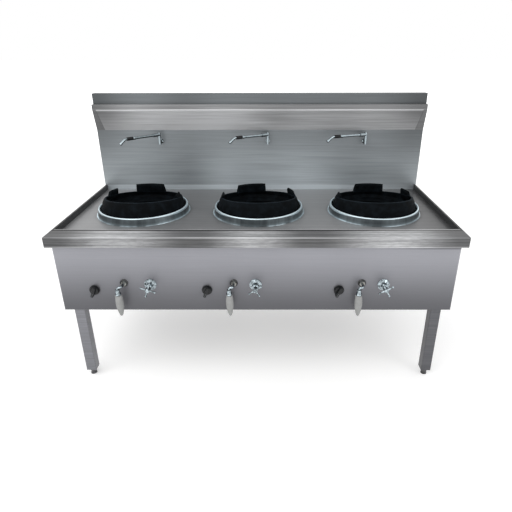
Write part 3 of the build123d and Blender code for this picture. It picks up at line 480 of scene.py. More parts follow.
def splash_steel(finish):
    """The splash: soft painted highlights that open out towards its foot, painted shade at its
    ends, low on its left and on its top strip, and a skirt below painted bright as a highlight.
    """
    shader = Brushed("splash_steel", finish.brush_pitch, seed=2.6)
    x, _, z = shader.axes()
    low = 1.0 - shader.smooth(z, WORKTOP_HIGH.z, VALANCE_LOW.z)
    # painted highlights, broad and stronger towards the foot
    level = 0.94 + low * 0.9 + shader.painted_highlights(x, SPLASH_PAINTED_SHEEN)
    level = level + shader.zone(x, 0.12, 0.58) * (0.05 + low * 0.85)
    # a painted shadow low on the left
    level = level - shader.zone(x, -0.41, 0.2) * low * 0.42
    # painted shade towards both ends
    level = level - shader.smooth(abs(x), 0.62, 0.92) * 0.4
    # painted shade on the strip above the valance
    strip = shader.smooth(z, VALANCE_HIGH.z - 0.001, VALANCE_HIGH.z + 0.001)
    painted_shade_and_reflection = 0.3 + shader.zone(x, -0.42, 0.2) * 0.08 + shader.smooth(abs(x), 0.8, 0.95) * 0.12
    level = level * (1.0 - strip * painted_shade_and_reflection)
    # the skirt below the worktop's top painted bright as a highlight, less so at the right
    skirt = 1.0 - shader.smooth(z, WORKTOP_HIGH.z - 0.001, WORKTOP_HIGH.z + 0.001)
    level = level + skirt * (0.9 - shader.smooth(x, 0.4, 0.9) * 0.6)
    return shader.finish(level, finish.wall_colour, 0.42)


def valance_steel(finish):
    """The valance: a sloped face painted brighter as light, cloudy painted highlights, a painted
    highlight on its bend, and mitred ends painted in shade.
    """
    shader = Brushed("valance_steel", finish.brush_pitch, seed=4.1)
    x, _, z = shader.axes()
    left = 0.0 - x
    fold = VALANCE_LOW.z + VALANCE_FOLD
    lip = shader.smooth(z, fold + 0.001, fold + 0.006)
    # the sloped face painted brighter as light, with painted shade towards its ends
    sloped = 2.0 + shader.smooth(left, -0.1, 0.15)
    sloped = sloped + (1.0 - shader.smooth(z, VALANCE_LOW.z, fold)) * 0.45
    sloped = sloped - shader.smooth(left, 0.56, 0.92) * 2.3 - shader.smooth(x, 0.6, 0.94) * 1.35
    # painted highlights on the upright lip, with painted shade towards its ends
    upright = 1.0 + shader.painted_highlights(x, VALANCE_PAINTED_SHEEN) - shader.smooth(abs(x), 0.68, 0.94) * 0.4
    level = sloped + (upright - sloped) * lip
    # a painted highlight along the bend
    level = level + shader.zone(z, fold, 0.007) * (1.3 + shader.zone(x, -0.33, 0.45) * 0.9)
    past_mitre = abs(x) - (SPLASH_HIGH.x - 0.020 - (fold - z) * VALANCE_TAPER)
    # the mitred end cheeks painted darker as shade
    cheek = shader.smooth(past_mitre, -0.001, 0.001) * (1.0 - lip)
    level = level + cheek * (0.6 + shader.smooth(x, -0.1, 0.1) * 0.1 - level)
    seam = shader.zone(past_mitre, 0.0, 0.004) * (1.0 - lip)
    level = level * (1.0 - seam * 0.3)
    return shader.finish(level, finish.top_colour, 0.6)


def panel_steel(finish):
    """The front panel: satin, painted light bright at its top and falling steadily to its foot,
    painted highlights on its side folds, painted shade under the ledge.
    """
    shader = Brushed("front_steel", finish.brush_pitch, seed=5.5)
    x, _, z = shader.axes()
    # painted light: bright at the top, falling to the foot
    level = 0.51 + shader.smooth(z, PANEL_LOW.z - 0.02, PANEL_HIGH.z - 0.045) * 1.05
    # painted highlights along the side folds
    fold = shader.smooth(abs(x), PANEL_HIGH.x - 0.006, PANEL_HIGH.x - 0.002)
    under_ledge = shader.smooth(z, WORKTOP_LOW.z - 0.022, WORKTOP_LOW.z - 0.014)
    shade = under_ledge * shader.smooth(x, 0.55, 0.9)
    level = level * (1.0 + fold * 0.25 - shade * 0.45)
    return shader.finish(level, finish.body_colour, 0.12, 0.42)


def spun_steel(name, colour, centre):
    """A spun collar: a lip painted white as a highlight, streaked blue-grey wall, and a brighter
    flange with painted glints and painted highlight crescents.
    """
    shader = Shader(name)
    x, y, z = shader.axes()
    x = x - centre.x
    y = y - centre.y
    radius = (x * x + y * y) ** 0.5
    round_x, round_y = x / radius, y / radius
    rings = shader.noise(shader.joined(radius * 900.0, z * 700.0), 1.0, 2.0, 0.6)
    # painted glints round the collar
    glint = shader.noise(shader.joined(round_x * 2.6, round_y * 2.6, centre.x * 3.0), 1.0, 3.0, 0.6)
    streak = shader.noise(shader.joined(round_x * 16.0, round_y * 16.0, z * 6.0), 1.0, 3.0, 0.65)
    bright = shader.smooth(glint, 0.42, 0.62)
    height = z - DECK_TOP

    foot = 1.0 - shader.smooth(height, 0.003, 0.016)
    level = 0.13 + (streak - 0.42) * 0.16 + bright * 0.09 + foot * 0.12
    level = level.larger(0.03)
    flange = 1.0 - shader.smooth(height, 0.003, 0.0045)
    # painted highlight crescents on the flange, broad at the left, smaller at the right
    crescent = shader.smooth(0.0 - round_x, 0.45, 0.95) + shader.smooth(round_x, 0.6, 0.98) * 0.7
    level = level + flange * (0.14 + bright * 0.4 + crescent * 0.6 - level)
    # the lip painted near white as a highlight, wider at the sides
    wide_lip = shader.smooth(abs(round_x), 0.45, 0.95) * 0.006
    lip = shader.smooth(height + wide_lip, 0.032, 0.0345)
    level = level + lip * (0.93 - level) + (rings - 0.5) * 0.06
    shader.set(base_color=shader.tint(level, colour, 1.1))
    shader.set(roughness=0.22 + rings * 0.12 + glint * 0.08, metallic=0.8)
    shader.set(normal=shader.bump(rings, 0.00005))
    return shader.material


def cast_iron(name, colour, tone, edge=None):
    """Black seasoned iron with a sandy skin, dry patches and a painted highlight along an edge
    where one is given.
    """
    shader = Shader(name)
    grain = shader.noise(shader.place(), 420.0, 4.0, 0.7)
    patch = shader.noise(shader.place(), 26.0, 4.0, 0.6)
    level = tone * (0.5 + shader.smooth(patch, 0.35, 0.8) * 1.4 + (grain - 0.5) * 0.8)
    if edge:
        # a painted highlight along the given edge
        level = level + edge(shader) * (0.5 + patch) * 2.2
    shader.set(base_color=shader.tint(level, colour, 12.0))
    shader.set(roughness=0.72 + (patch - 0.5) * 0.3 + (grain - 0.5) * 0.1)
    shader.set(metallic=0.0, specular_ior_level=0.05)
    shader.set(normal=shader.bump(grain * 0.7 + patch * 0.6, 0.0005))
    return shader.material


def rim_highlight(side):
    """A painted highlight along a cast ring's rim, which slopes down to the back."""
    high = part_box(f"wok_ring_{side}")[1]
    front = BURNERS[side].y - RIM_FRONT

    def rim_highlight_mask(shader):
        _, y, z = shader.axes()
        rim_height = high.z - (y - front) * RIM_SLOPE
        return 1.0 - shader.smooth(abs(z - rim_height), 0.0006, 0.0028)

    return rim_highlight_mask


def chrome(name, colour, patches, rough=0.10, light=1.1):
    """Plated metal with painted reflections: a painted highlight where it faces forward and up, and
    mottled patches of painted reflection.
    """
    shader = Shader(name)
    marks = shader.noise(shader.place(), 90.0, 3.0, 0.6)
    spots = shader.noise(shader.place(), 260.0, 2.0, 0.5)
    way = shader.node("ShaderNodeTexCoord", {}, {}).value("Normal")
    settings, inputs = {"operation": "DOT_PRODUCT"}, {0: way, 1: LIT_WAY}
    product = shader.node("ShaderNodeVectorMath", settings, inputs)
    # a painted highlight where the surface faces forward and up, painted dark towards its edges
    facing = shader.smooth(abs(product.value("Value")), 0.5, 0.97)
    # mottled patches of painted reflection
    painted_shade_and_reflection, dark = shader.smooth(marks, 0.4, 0.62), shader.smooth(spots, 0.6, 0.72)
    level = 0.16 + facing * (light - patches) + painted_shade_and_reflection * patches - dark * (patches * 0.3)
    shader.set(base_color=shader.tint(level, colour, 1.6))
    shader.set(roughness=rough + shader.smooth(marks, 0.45, 0.75) * 0.14, metallic=1.0)
    shader.set(normal=shader.bump(marks, 0.00008))
    return shader.material


def moulded(name, colour, rough, grain=900.0, depth=0.00015, mottle=0.25, gloss=0.5):
    """Moulded plastic, rubber, clay or paint, with a fine skin and slight mottling."""
    shader = Shader(name)
    skin = shader.noise(shader.place(), grain, 2.0, 0.5)
    blot = shader.noise(shader.place(), 45.0, 3.0, 0.6)
    level = 1.0 + (blot - 0.5) * (4.0 * mottle) + (skin - 0.5) * (0.8 * mottle)
    shader.set(base_color=shader.tint(level, colour, 2.0))
    shader.set(roughness=rough + (blot - 0.5) * 0.2, metallic=0.0, specular_ior_level=gloss)
    shader.set(normal=shader.bump(skin, depth))
    return shader.material


def metal(name, colour, rough=0.35, stain=None):
    """Plain metal with stains that run from its own colour to another."""
    shader = Shader(name)
    patch = shader.noise(shader.place(), 14.0, 4.0, 0.65)
    fine = shader.noise(shader.place(), 160.0, 3.0, 0.6)
    stained = rgba(stain) if stain else rgba(colour, 0.55)
    spread = shader.smooth(patch + (fine - 0.5) * 0.3, 0.35, 0.75)
    shader.set(base_color=shader.mix(spread, rgba(colour), stained))
    shader.set(roughness=rough + patch * 0.25, metallic=1.0 - shader.smooth(patch, 0.3, 0.8) * 0.25)
    shader.set(normal=shader.bump(fine, 0.0002))
    return shader.material


# ---------------------------------------------------------------- making pieces
SHARP = math.radians(38)  # edges that turn by more than this stay crisp


def dress(node, material):
    """Puts one material on a CAD node."""
    made = frame["nodes"][node]
    made.data.materials.clear()
    made.data.materials.append(material)


def cross_axes(axis):
    """Two directions square to an axis and to each other, then the axis."""
    along = Vector(axis).normalized()
    side = UP if abs(along.z) < 0.9 else Vector((1, 0, 0))
    side = (side - along * side.dot(along)).normalized()
    return side, along.cross(side), along


def turn(bm, place, axis, profile, sides):
    """Adds a profile of (along, radius) pairs, in millimetres, turned about an axis."""
    side, across, along = cross_axes(axis)
    place = Vector(place)
    rings = []
    for step, radius in profile:
        ring = []
        for index in range(sides):
            angle = 2 * math.pi * index / sides
            out = side * math.cos(angle) + across * math.sin(angle)
            ring.append(bm.verts.new(place + along * (step / 1000) + out * (radius / 1000)))
        rings.append(ring)
    for lower, upper in zip(rings, rings[1:]):
        for index in range(sides):
            after = (index + 1) % sides
            bm.faces.new((lower[index], lower[after], upper[after], upper[index]))
    bm.faces.new(reversed(rings[0]))
    bm.faces.new(rings[-1])


def slab(bm, place, size, turned, soft):
    """Adds a block with softened edges, centred on a place and turned; sizes in millimetres."""
    scale = Matrix.Diagonal((*[edge / 1000 for edge in size], 1))
    matrix = Matrix.Translation(place) @ turned.to_4x4() @ scale
    made = bmesh.ops.create_cube(bm, size=1.0, matrix=matrix)
    edges = list({edge for vert in made["verts"] for edge in vert.link_edges})
    bmesh.ops.bevel(bm, geom=edges, offset=soft / 1000, segments=2, affect="EDGES", profile=0.5)


def piece(name, bm, body, material):
    """Makes an object of what was built, and lets it ride on a CAD body."""
    bmesh.ops.recalc_face_normals(bm, faces=bm.faces)
    mesh = bpy.data.meshes.new(name)
    bm.to_mesh(mesh)
    bm.free()
    mesh.shade_smooth()
    mesh.set_sharp_from_angle(angle=SHARP)
    mesh.materials.append(material)
    made = bpy.data.objects.new(name, mesh)
    bpy.context.scene.collection.objects.link(made)
    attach(made, body)
    return made


# profiles turned about an axis: pairs of a place along it and a radius, in millimetres
RIVET = ((0, 3.4), (0.5, 3.4), (1.1, 2.9), (1.5, 2.0), (1.6, 1.2), (1.0, 1.1), (0.9, 0.4))
HEX_NUT = ((0, 0.93), (0.06, 1.0), (0.94, 1.0), (1.0, 0.93))  # as parts of length and radius
SOLE = ((0.1, 14.0), (0.1, 15.3), (2.6, 15.3), (3.2, 14.8), (3.2, 13.5))
BURNER_RIM = ((0, 52), (0, 57.5), (3.5, 57.5), (5, 56), (5, 53.5))
PILOT_TIP = ((0, 3.4), (1, 4.6), (7, 4.6), (8, 3.6), (14, 3.2), (15, 2.2))
KNOB_RING = ((0.2, 21.5), (0.2, 24.15), (1.6, 24.15), (2.2, 23.6), (2.2, 21.5))
SLEEVE_RING = ((-5.0, 14.6), (-4.4, 15.6), (-1.4, 15.6), (-0.6, 14.9), (-0.6, 13.0))
BELL_RINGS = (
    ((9.4, 11.0), (9.8, 13.0), (11.0, 13.0), (11.4, 11.0)),
    ((26.6, 8.0), (27.2, 10.4), (29.4, 10.4), (30.0, 8.0)),
)
WASHER_LIP = ((6.4, 15.5), (6.4, 12.5), (7.4, 12.0), (7.4, 11.0))
HUB_RING = ((-4.5, 9.6), (-4.1, 10.6), (-2.6, 10.6), (-2.0, 9.6))
FLANGE_RING = ((1.5, 28.0), (2.2, 29.0), (3.4, 28.6), (3.8, 27.0))
BONNET_RINGS = (
    ((18, 13.6), (18.6, 14.4), (20.4, 14.4), (21, 13.6)),
    ((28, 13.6), (28.6, 14.4), (30.4, 14.4), (31, 13.6)),
)
ARM_CAP = ((0, 8.9), (0.4, 9.2), (0.8, 8.6), (0.95, 6.0))
NOZZLE_RINGS = (
    ((10, 7.0), (10.5, 8.2), (13, 8.2), (13.5, 7.0)),
    ((20, 7.0), (20.5, 8.0), (22, 8.0), (22.5, 7.0)),
)
STRAINER = ((-3.0, 5.2), (0.3, 5.2), (0.5, 4.6), (0.5, 1.0))
POST_TOP = ((0, 8.8), (0.6, 9.6), (3.4, 9.6), (4.0, 8.8))
POST_FOOT = ((0.2, 8.0), (0.4, 9.2), (3.0, 9.2), (3.6, 8.4))
# more sizes in millimetres
COLLAR_STEPS = (3, 20, 36)  # where the rings sit along a spout's arm
THREAD_PITCH, THREAD_DEPTH = 1.8, 0.6
GAS_RADIUS, WATER_RADIUS = 16.85, 10.65
FOOT_NUT, PILOT_NUT, TAP_NUT, SPOUT_NUT = (13.5, 6.0), (6.0, 5.0), (11.0, 44.0), (11.5, 7.0)
POINTER = (1.5, 0.5, 20)


def spaced(first, last, count):
    """Evenly spaced places from one to the other."""
    return [first + (last - first) * step / (count - 1) for step in range(count)]


def nut(bm, place, axis, radius, length):
    """Adds a hexagon nut with broken corners."""
    turn(bm, place, axis, [(step * length, part * radius) for step, part in HEX_NUT], 6)


def threads(bm, place, axis, radius, length):
    """Adds the ridges of a screw thread as a stack of turned rings."""
    root = radius - THREAD_DEPTH
    profile = [(0, root)]
    step = 0.0
    while step < length:
        crest = [(step + THREAD_PITCH * part, radius) for part in (0.25, 0.5)]
        step += THREAD_PITCH
        profile += [*crest, (step, root)]
    turn(bm, place, axis, profile, 28)


class RANGE_OT_sheet_steel(bpy.types.Operator):
    """Brushed steel on the worktop, splash, panels and legs"""

    bl_idname = "wok_range.sheet_steel"
    bl_label = "Sheet Steel"

    def execute(self, context):
        finish = context.scene.range_finishes
        pitch = finish.brush_pitch
        body = finish.body_colour
        dress("worktop", worktop_steel(finish))
        dress("deck_plate", deck_steel(finish))
        dress("splash", splash_steel(finish))
        dress("valance", valance_steel(finish))
        dress("front_panel", panel_steel(finish))
        dress("splash_cover", plain_steel("cover_steel", finish.wall_colour, pitch, seed=6.0))
        dress("rear_panel", plain_steel("rear_steel", body, pitch, seed=7.0))
        for side in ("left", "right"):
            steel = plain_steel(f"side_steel_{side}", body, pitch, "Y", 1.1, 8.0)
            dress(f"side_panel_{side}", steel)
        # the legs' steel at its painted levels of light and shade
        for leg, tone in LEG_PAINTED_LIGHT.items():
            steel = plain_steel(f"leg_steel_{leg}", body, pitch, "X", tone, 9.0, 0.6)
            dress(f"leg_{leg}", steel)
        dress("under_frame", metal("frame_zinc", (0.35, 0.36, 0.37)))
        return {"FINISHED"}


class RANGE_OT_feet(bpy.types.Operator):
    """Levelling feet with their lock nuts and rubber soles"""

    bl_idname = "wok_range.feet"
    bl_label = "Feet"

    def execute(self, context):
        zinc = metal("foot_zinc", (0.16, 0.16, 0.165))
        rubber = moulded("sole_rubber", (0.02, 0.02, 0.02), 0.7, 500.0, 0.0003)
        for leg in LEGS:
            dress(f"foot_{leg}", zinc)
            centre = middle(f"foot_{leg}")
            centre.z = 0.0
            bm = bmesh.new()
            turn(bm, centre, UP, SOLE, 36)
            piece(f"foot_sole_{leg}", bm, f"foot_{leg}", rubber)
            bm = bmesh.new()
            nut(bm, centre + UP * FOOT_NUT_HEIGHT, UP, *FOOT_NUT)
            piece(f"foot_nut_{leg}", bm, f"foot_{leg}", zinc)
        return {"FINISHED"}


class RANGE_OT_fasteners(bpy.types.Operator):
    """Blind rivets on the rear and side sheets"""

    bl_idname = "wok_range.fasteners"
    bl_label = "Fasteners"

    def execute(self, context):
        finish = context.scene.range_finishes
        material = metal("rivet_steel", finish.body_colour, 0.3)
        low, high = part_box("splash_cover")
        cover_face = high.y - COVER_FACE
        inset = RIVET_INSET
        places = [
            (x, cover_face, z)
            for x in spaced(low.x + inset, high.x - inset, 9)
            for z in (low.z + inset, high.z - inset)
        ]
        places += [
            (x, cover_face, z)
            for z in spaced(low.z + 7 * inset, high.z - 7 * inset, 3)
            for x in (low.x + inset, high.x - inset)
        ]
        low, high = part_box("rear_panel")
        places += [
            (x, high.y, z)
            for x in spaced(low.x + PANEL_INSET, high.x - PANEL_INSET, 9)
            for z in (low.z + PANEL_INSET, high.z - PANEL_TOP_INSET)
        ]
        self.rivets("rear_rivets", places, (0, 1, 0), material)
        for side, hand in (("left", -1), ("right", 1)):
            low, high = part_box(f"side_panel_{side}")
            face = low.x if hand < 0 else high.x
            places = [
                (face, y, z)
                for y in (low.y + inset, (low.y + high.y) / 2, high.y - inset)
                for z in (low.z + PANEL_INSET, high.z - 2 * PANEL_INSET)
            ]
            self.rivets(f"side_rivets_{side}", places, (hand, 0, 0), material)
        return {"FINISHED"}

    @staticmethod
    def rivets(name, places, outward, material):
        """One piece with a rivet head at each place."""
        bm = bmesh.new()
        for place in places:
            turn(bm, place, outward, RIVET, 20)
        piece(name, bm, "range", material)


class RANGE_OT_burners(bpy.types.Operator):
    """Spun collars, cast rings, chambers and jet burners with their pilots"""

    bl_idname = "wok_range.burners"
    bl_label = "Burners"

    def execute(self, context):
        finish = context.scene.range_finishes
        iron = finish.iron_colour
        brass = metal("pilot_tip_brass", (0.5, 0.36, 0.18), 0.3, (0.12, 0.09, 0.06))
        for side in STATIONS:
            centre = BURNERS[side]
            soot = metal(f"drum_steel_{side}", (0.05, 0.05, 0.05), 0.6, (0.012, 0.01, 0.009))
            dress(f"collar_{side}", spun_steel(f"collar_steel_{side}", finish.spun_colour, centre))
            dress(f"wok_ring_{side}", cast_iron(f"ring_iron_{side}", iron, 1.0, rim_highlight(side)))
            dress(f"burner_{side}", cast_iron(f"burner_iron_{side}", iron, 2.2))
            dress(f"drum_{side}", soot)
            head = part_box(f"burner_{side}")[1].z - HEAD_STEP
            bm = bmesh.new()
            turn(bm, (centre.x, centre.y, head - LET_IN), UP, BURNER_RIM, 48)
            rim_iron = cast_iron(f"rim_iron_{side}", iron, 2.6)
            piece(f"burner_rim_{side}", bm, "range", rim_iron)
            tip = centre - PILOT_AWAY
            tip.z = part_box("pilot_tubes")[1].z
            bm = bmesh.new()
            turn(bm, tip - UP * PILOT_TIP_DROP, UP, PILOT_TIP, 20)
            nut(bm, tip - UP * PILOT_NUT_DROP, UP, *PILOT_NUT)
            piece(f"pilot_tip_{side}", bm, "range", brass)
        clay = moulded("lining_clay", (0.006, 0.0055, 0.005), 0.95, 60.0, 0.002, 0.4, 0.05)
        dress("linings", clay)
        return {"FINISHED"}


class RANGE_OT_knobs(bpy.types.Operator):
    """Pilot knobs with a pointer line and a turned neck ring"""

    bl_idname = "wok_range.knobs"
    bl_label = "Knobs"

    def execute(self, context):
        black = moulded("knob_black", (0.0075, 0.0085, 0.0095), 0.34, 700.0, 0.0002, 0.3, 0.35)
        mark = moulded("pointer_paint", (0.11, 0.115, 0.12), 0.6)
        for side in STATIONS:
            dress(f"knob_{side}", black)
            pivot = PIVOTS[f"knob_{side}_turn"]
            face = Vector((pivot.x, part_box(f"knob_{side}")[0].y, pivot.z))
            lean = math.radians(KNOB_LEAN[side])
            down = Vector((-math.sin(lean), 0, -math.cos(lean)))
            spin = Matrix((down.cross(FORWARD), -FORWARD, down)).transposed()
            bm = bmesh.new()
            slab(bm, face + down * POINTER_DROP, POINTER, spin, 0.2)
            piece(f"knob_pointer_{side}", bm, f"knob_{side}", mark)
            bm = bmesh.new()
            turn(bm, face - FORWARD * KNOB_NECK, FORWARD, KNOB_RING, 48)
            piece(f"knob_skirt_{side}", bm, f"knob_{side}", black)
        return {"FINISHED"}


class RANGE_OT_levers(bpy.types.Operator):
    """Gas levers: plated bells, grey sleeves with a mouth ring, and dark washers on the panel"""

    bl_idname = "wok_range.levers"
    bl_label = "Levers"

    def execute(self, context):
        finish = context.scene.range_finishes
        plate = chrome("lever_chrome", finish.chrome_colour, 0.6)
        grey = moulded("sleeve_grey", finish.sleeve_colour, 0.5, 300.0, 0.0002, 0.12)
        dress("escutcheons", moulded("washer_enamel", (0.03, 0.031, 0.03), 0.4, 400.0, 0.0002, 0.4))
        dress("main_valves", metal("valve_steel", (0.42, 0.42, 0.4), 0.25, (0.25, 0.24, 0.22)))
        for side in STATIONS:
            dress(f"lever_{side}", plate)
            dress(f"sleeve_{side}", grey)
            low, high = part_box(f"sleeve_{side}")
            mouth = Vector(((low.x + high.x) / 2 - MOUTH_LEFT, (low.y + high.y) / 2, high.z))
            bm = bmesh.new()
            turn(bm, mouth, UP, SLEEVE_RING, 40)
            piece(f"sleeve_mouth_{side}", bm, f"lever_{side}", grey)
            bm = bmesh.new()
            for ring in BELL_RINGS:
                turn(bm, mouth, UP, ring, 40)
            piece(f"lever_rings_{side}", bm, f"lever_{side}", plate)
            bm = bmesh.new()
            turn(bm, PIVOTS[f"lever_{side}_swing"], FORWARD, WASHER_LIP, 36)
            piece(f"washer_lip_{side}", bm, "range", plate)
        return {"FINISHED"}


class RANGE_OT_taps(bpy.types.Operator):
    """Water taps: plated flange, bonnet and cross handle with a hub ring"""

    bl_idname = "wok_range.taps"
    bl_label = "Taps"

    def execute(self, context):
        finish = context.scene.range_finishes
        plate = chrome("tap_chrome", finish.chrome_colour, 0.8)
        dress("tap_bodies", plate)
        for side in STATIONS:
            dress(f"tap_handle_{side}", plate)
            pivot = PIVOTS[f"tap_{side}_turn"]
            front = Vector((pivot.x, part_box(f"tap_handle_{side}")[0].y, pivot.z))
            bm = bmesh.new()
            turn(bm, front, FORWARD, HUB_RING, 36)
            piece(f"tap_cap_{side}", bm, f"tap_handle_{side}", plate)
            bm = bmesh.new()
            turn(bm, pivot, FORWARD, FLANGE_RING, 48)
            for ring in BONNET_RINGS:
                turn(bm, pivot, FORWARD, ring, 36)
            nut(bm, pivot, FORWARD, *TAP_NUT)
            piece(f"tap_bonnet_{side}", bm, "range", plate)
        return {"FINISHED"}


class RANGE_OT_spouts(bpy.types.Operator):
    """Plated wall spouts: posts, swivel rings, collars, black grips and nozzle tips"""

    bl_idname = "wok_range.spouts"
    bl_label = "Spouts"

    def execute(self, context):
        finish = context.scene.range_finishes
        plate = chrome("spout_chrome", finish.chrome_colour, 0.15, 0.12, 0.85)
        black = moulded("grip_black", (0.004, 0.0045, 0.005), 0.5, 600.0, 0.0002, 0.3, 0.3)
        dress("spout_posts", plate)
        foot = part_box("spout_posts")[0].z
        for side in STATIONS:
            dress(f"spout_arm_{side}", plate)
            dress(f"spout_grip_{side}", black)
            body = f"spout_{side}"
            joint = PIVOTS[f"spout_{side}_swivel"]
            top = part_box(f"spout_arm_{side}")[1].z
            swing = math.radians(SPOUT_SWING[side])
            way = Vector((-math.cos(swing), -math.sin(swing), 0))
            root = Vector((joint.x, joint.y, (joint.z + top) / 2))
            end = root + way * SPOUT_REACH
            drop = way * NOZZLE_OUT - UP * NOZZLE_DOWN
            bm = bmesh.new()
            turn(bm, (joint.x, joint.y, top - LET_IN), UP, ARM_CAP, 32)
            for step in COLLAR_STEPS:
                collar = ((step, 9.6), (step + 0.5, 10.7), (step + 1.8, 10.7), (step + 2.3, 9.6))
                turn(bm, root + way * LET_IN, way, collar, 32)
            for ring in NOZZLE_RINGS:
                turn(bm, end, drop, ring, 28)
            piece(f"spout_rings_{side}", bm, body, plate)
            bm = bmesh.new()
            turn(bm, end + drop, drop, STRAINER, 24)
            mesh_steel = metal(f"strainer_{side}", (0.05, 0.05, 0.05), 0.5)
            piece(f"spout_strainer_{side}", bm, body, mesh_steel)
            bm = bmesh.new()
            turn(bm, (joint.x, joint.y, joint.z - LET_IN), -UP, POST_TOP, 32)
            turn(bm, (joint.x, joint.y, foot), UP, POST_FOOT, 32)
            behind = (joint.x, SPLASH_LOW.y + LET_IN / 2, foot + SPOUT_NUT_HEIGHT)
            nut(bm, behind, FORWARD, *SPOUT_NUT)
            piece(f"spout_post_rings_{side}", bm, "range", plate)
        return {"FINISHED"}


class RANGE_OT_pipework(bpy.types.Operator):
    """Painted gas pipes and copper water pipes under the deck, with threads and bands"""

    bl_idname = "wok_range.pipework"
    bl_label = "Pipework"

    def execute(self, context):
        gas = moulded("gas_paint", (0.4, 0.29, 0.05), 0.4, 300.0, 0.0003, 0.3)
        copper = metal("copper_tube", (0.55, 0.24, 0.13), 0.25, (0.2, 0.09, 0.05))
        zinc = metal("band_zinc", (0.3, 0.3, 0.31), 0.35)
        dress("gas_manifold", gas)
        dress("feed_pipes", gas)
        dress("pilot_valves", metal("pilot_brass", (0.55, 0.4, 0.2), 0.25, (0.25, 0.18, 0.1)))
        for node in ("water_manifold", "risers", "pilot_tubes"):
            dress(node, copper)
        for node, radius, material, slot in (
            ("gas_manifold", GAS_RADIUS, gas, "gas_pipe"),
            ("water_manifold", WATER_RADIUS, copper, "copper"),
        ):
            low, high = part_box(node)
            inlet = Vector((high.x - radius / 1000 - INLET_INSET, (low.y + high.y) / 2, low.z))
            bm = bmesh.new()
            threads(bm, inlet + UP * LET_IN, UP, radius + 0.5, 16.0)
            piece(f"{node}_thread", bm, "range", material)
            bm = bmesh.new()
            axis_z = high.z - radius / 1000
            band = ((-8, radius + 0.2), (-8, radius + 2), (8, radius + 2), (8, radius + 0.2))
            for x in spaced(low.x + BANDS_LEFT, high.x - BANDS_RIGHT, 3):
                turn(bm, (x, inlet.y, axis_z), (1, 0, 0), band, 32)
            piece(f"{node}_bands", bm, "range", zinc)
        return {"FINISHED"}


# ---------------------------------------------------------------- studio
def lamp(name, place, target, size, power):
    """An area lamp that faces a point."""
    data = bpy.data.lights.new(name, "AREA")
    data.shape = "RECTANGLE"
    data.size, data.size_y = size
    data.energy = power
    made = bpy.data.objects.new(name, data)
    made.location = place
    made.rotation_euler = (Vector(target) - Vector(place)).to_track_quat("-Z", "Y").to_euler()
    bpy.context.scene.collection.objects.link(made)


def seen_directly(shader):
    """1 for what the camera sees, straight, in gloss or through glass."""
    path = shader.node("ShaderNodeLightPath", {}, {})
    seen = path.value("Is Camera Ray").larger(path.value("Is Glossy Ray"))
    return seen.larger(path.value("Is Transmission Ray"))


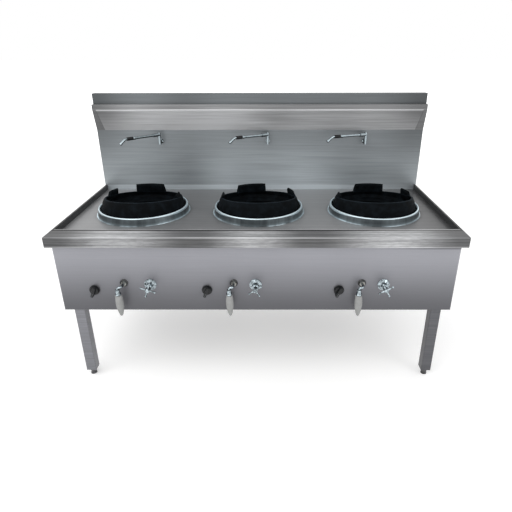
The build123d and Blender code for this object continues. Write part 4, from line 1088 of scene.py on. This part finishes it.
class RANGE_OT_studio(bpy.types.Operator):
    """Pale floor, white surround, soft lamps and the camera"""

    bl_idname = "wok_range.studio"
    bl_label = "Studio"

    def execute(self, context):
        studio = context.scene.range_studio
        scene = context.scene
        reach = studio.floor_reach
        floor_mesh = bpy.data.meshes.new("floor")
        corners = [(-reach, -reach, 0), (reach, -reach, 0), (reach, reach, 0), (-reach, reach, 0)]
        floor_mesh.from_pydata(corners, [], [(0, 1, 2, 3)])
        floor_mesh.materials.append(self.floor_paint())
        floor = bpy.data.objects.new("floor", floor_mesh)
        scene.collection.objects.link(floor)

        world = bpy.data.worlds.new("surround")
        scene.world = world
        world.use_nodes = True
        sky = Shader("surround", world.node_tree)
        seen = seen_directly(sky)
        strength = seen + (1.0 - seen) * studio.sky_strength
        inputs = {"Color": (1, 1, 1, 1), "Strength": strength}
        background = sky.node("ShaderNodeBackground", {}, inputs)
        sky.node("ShaderNodeOutputWorld", {}, {"Surface": background.value()})

        for name, place, target, size, share in LAMPS:
            lamp(name, place, target, size, studio.key_power * share)

        data = bpy.data.cameras.new("camera")
        data.lens = studio.lens
        data.sensor_width = 36.0
        data.shift_x, data.shift_y = CAMERA_SHIFT
        data.clip_end = 300.0
        camera = bpy.data.objects.new("camera", data)
        pitch, yaw, roll = studio.pitch, CAMERA_YAW, CAMERA_ROLL
        forward = Vector((math.sin(yaw), math.cos(yaw), 0)) * math.cos(pitch) - UP * math.sin(pitch)
        level = Vector((math.cos(yaw), -math.sin(yaw), 0))
        upward = level.cross(forward)
        across = level * math.cos(roll) + upward * math.sin(roll)
        over = upward * math.cos(roll) - level * math.sin(roll)
        turned = Matrix((across, over, -forward)).transposed()
        camera.matrix_world = Matrix.Translation(studio.camera_place) @ turned.to_4x4()
        scene.collection.objects.link(camera)
        scene.camera = camera
        scene.view_settings.view_transform = "Standard"
        return {"FINISHED"}

    @staticmethod
    def floor_paint():
        """A matt white floor that the camera sees lifted to pure white, with its shadows kept."""
        shader = Shader("floor_paint")
        x, y, _ = shader.axes()
        away = (x * x + y * y) ** 0.5
        lift = FLOOR_LIFT + shader.smooth(away, *FLOOR_FADE) * (1.0 - FLOOR_LIFT)
        seen = seen_directly(shader)
        shader.set(base_color=(0.9, 0.9, 0.9, 1), roughness=0.9, specular_ior_level=0.0)
        shader.set(emission_color=shader.tint(lift * seen, (1, 1, 1), 1.0), emission_strength=1.0)
        return shader.material


# ---------------------------------------------------------------- panel and registration
OPERATORS = (
    RANGE_OT_sheet_steel,
    RANGE_OT_feet,
    RANGE_OT_fasteners,
    RANGE_OT_burners,
    RANGE_OT_knobs,
    RANGE_OT_levers,
    RANGE_OT_taps,
    RANGE_OT_spouts,
    RANGE_OT_pipework,
    RANGE_OT_studio,
)


class RANGE_PT_panel(bpy.types.Panel):
    """Lists the range's finishes and pieces"""

    bl_label = "Wok Range"
    bl_idname = "RANGE_PT_panel"
    bl_space_type = "VIEW_3D"
    bl_region_type = "UI"
    bl_category = "Wok Range"

    def draw(self, context):
        layout = self.layout
        for group in (context.scene.range_finishes, context.scene.range_studio):
            for name in group.__annotations__:
                layout.prop(group, name)
        for operator in OPERATORS:
            layout.operator(operator.bl_idname)


CLASSES = (RangeFinishes, StudioSettings, *OPERATORS, RANGE_PT_panel)


def register():
    for one in CLASSES:
        bpy.utils.register_class(one)
    bpy.types.Scene.range_finishes = PointerProperty(type=RangeFinishes)
    bpy.types.Scene.range_studio = PointerProperty(type=StudioSettings)


def unregister():
    del bpy.types.Scene.range_studio
    del bpy.types.Scene.range_finishes
    for one in reversed(CLASSES):
        bpy.utils.unregister_class(one)


def main():
    register()
    bpy.ops.wok_range.sheet_steel()
    bpy.ops.wok_range.feet()
    bpy.ops.wok_range.fasteners()
    bpy.ops.wok_range.burners()
    bpy.ops.wok_range.knobs()
    bpy.ops.wok_range.levers()
    bpy.ops.wok_range.taps()
    bpy.ops.wok_range.spouts()
    bpy.ops.wok_range.pipework()
    bpy.ops.wok_range.studio()


if __name__ == "__main__":
    main()
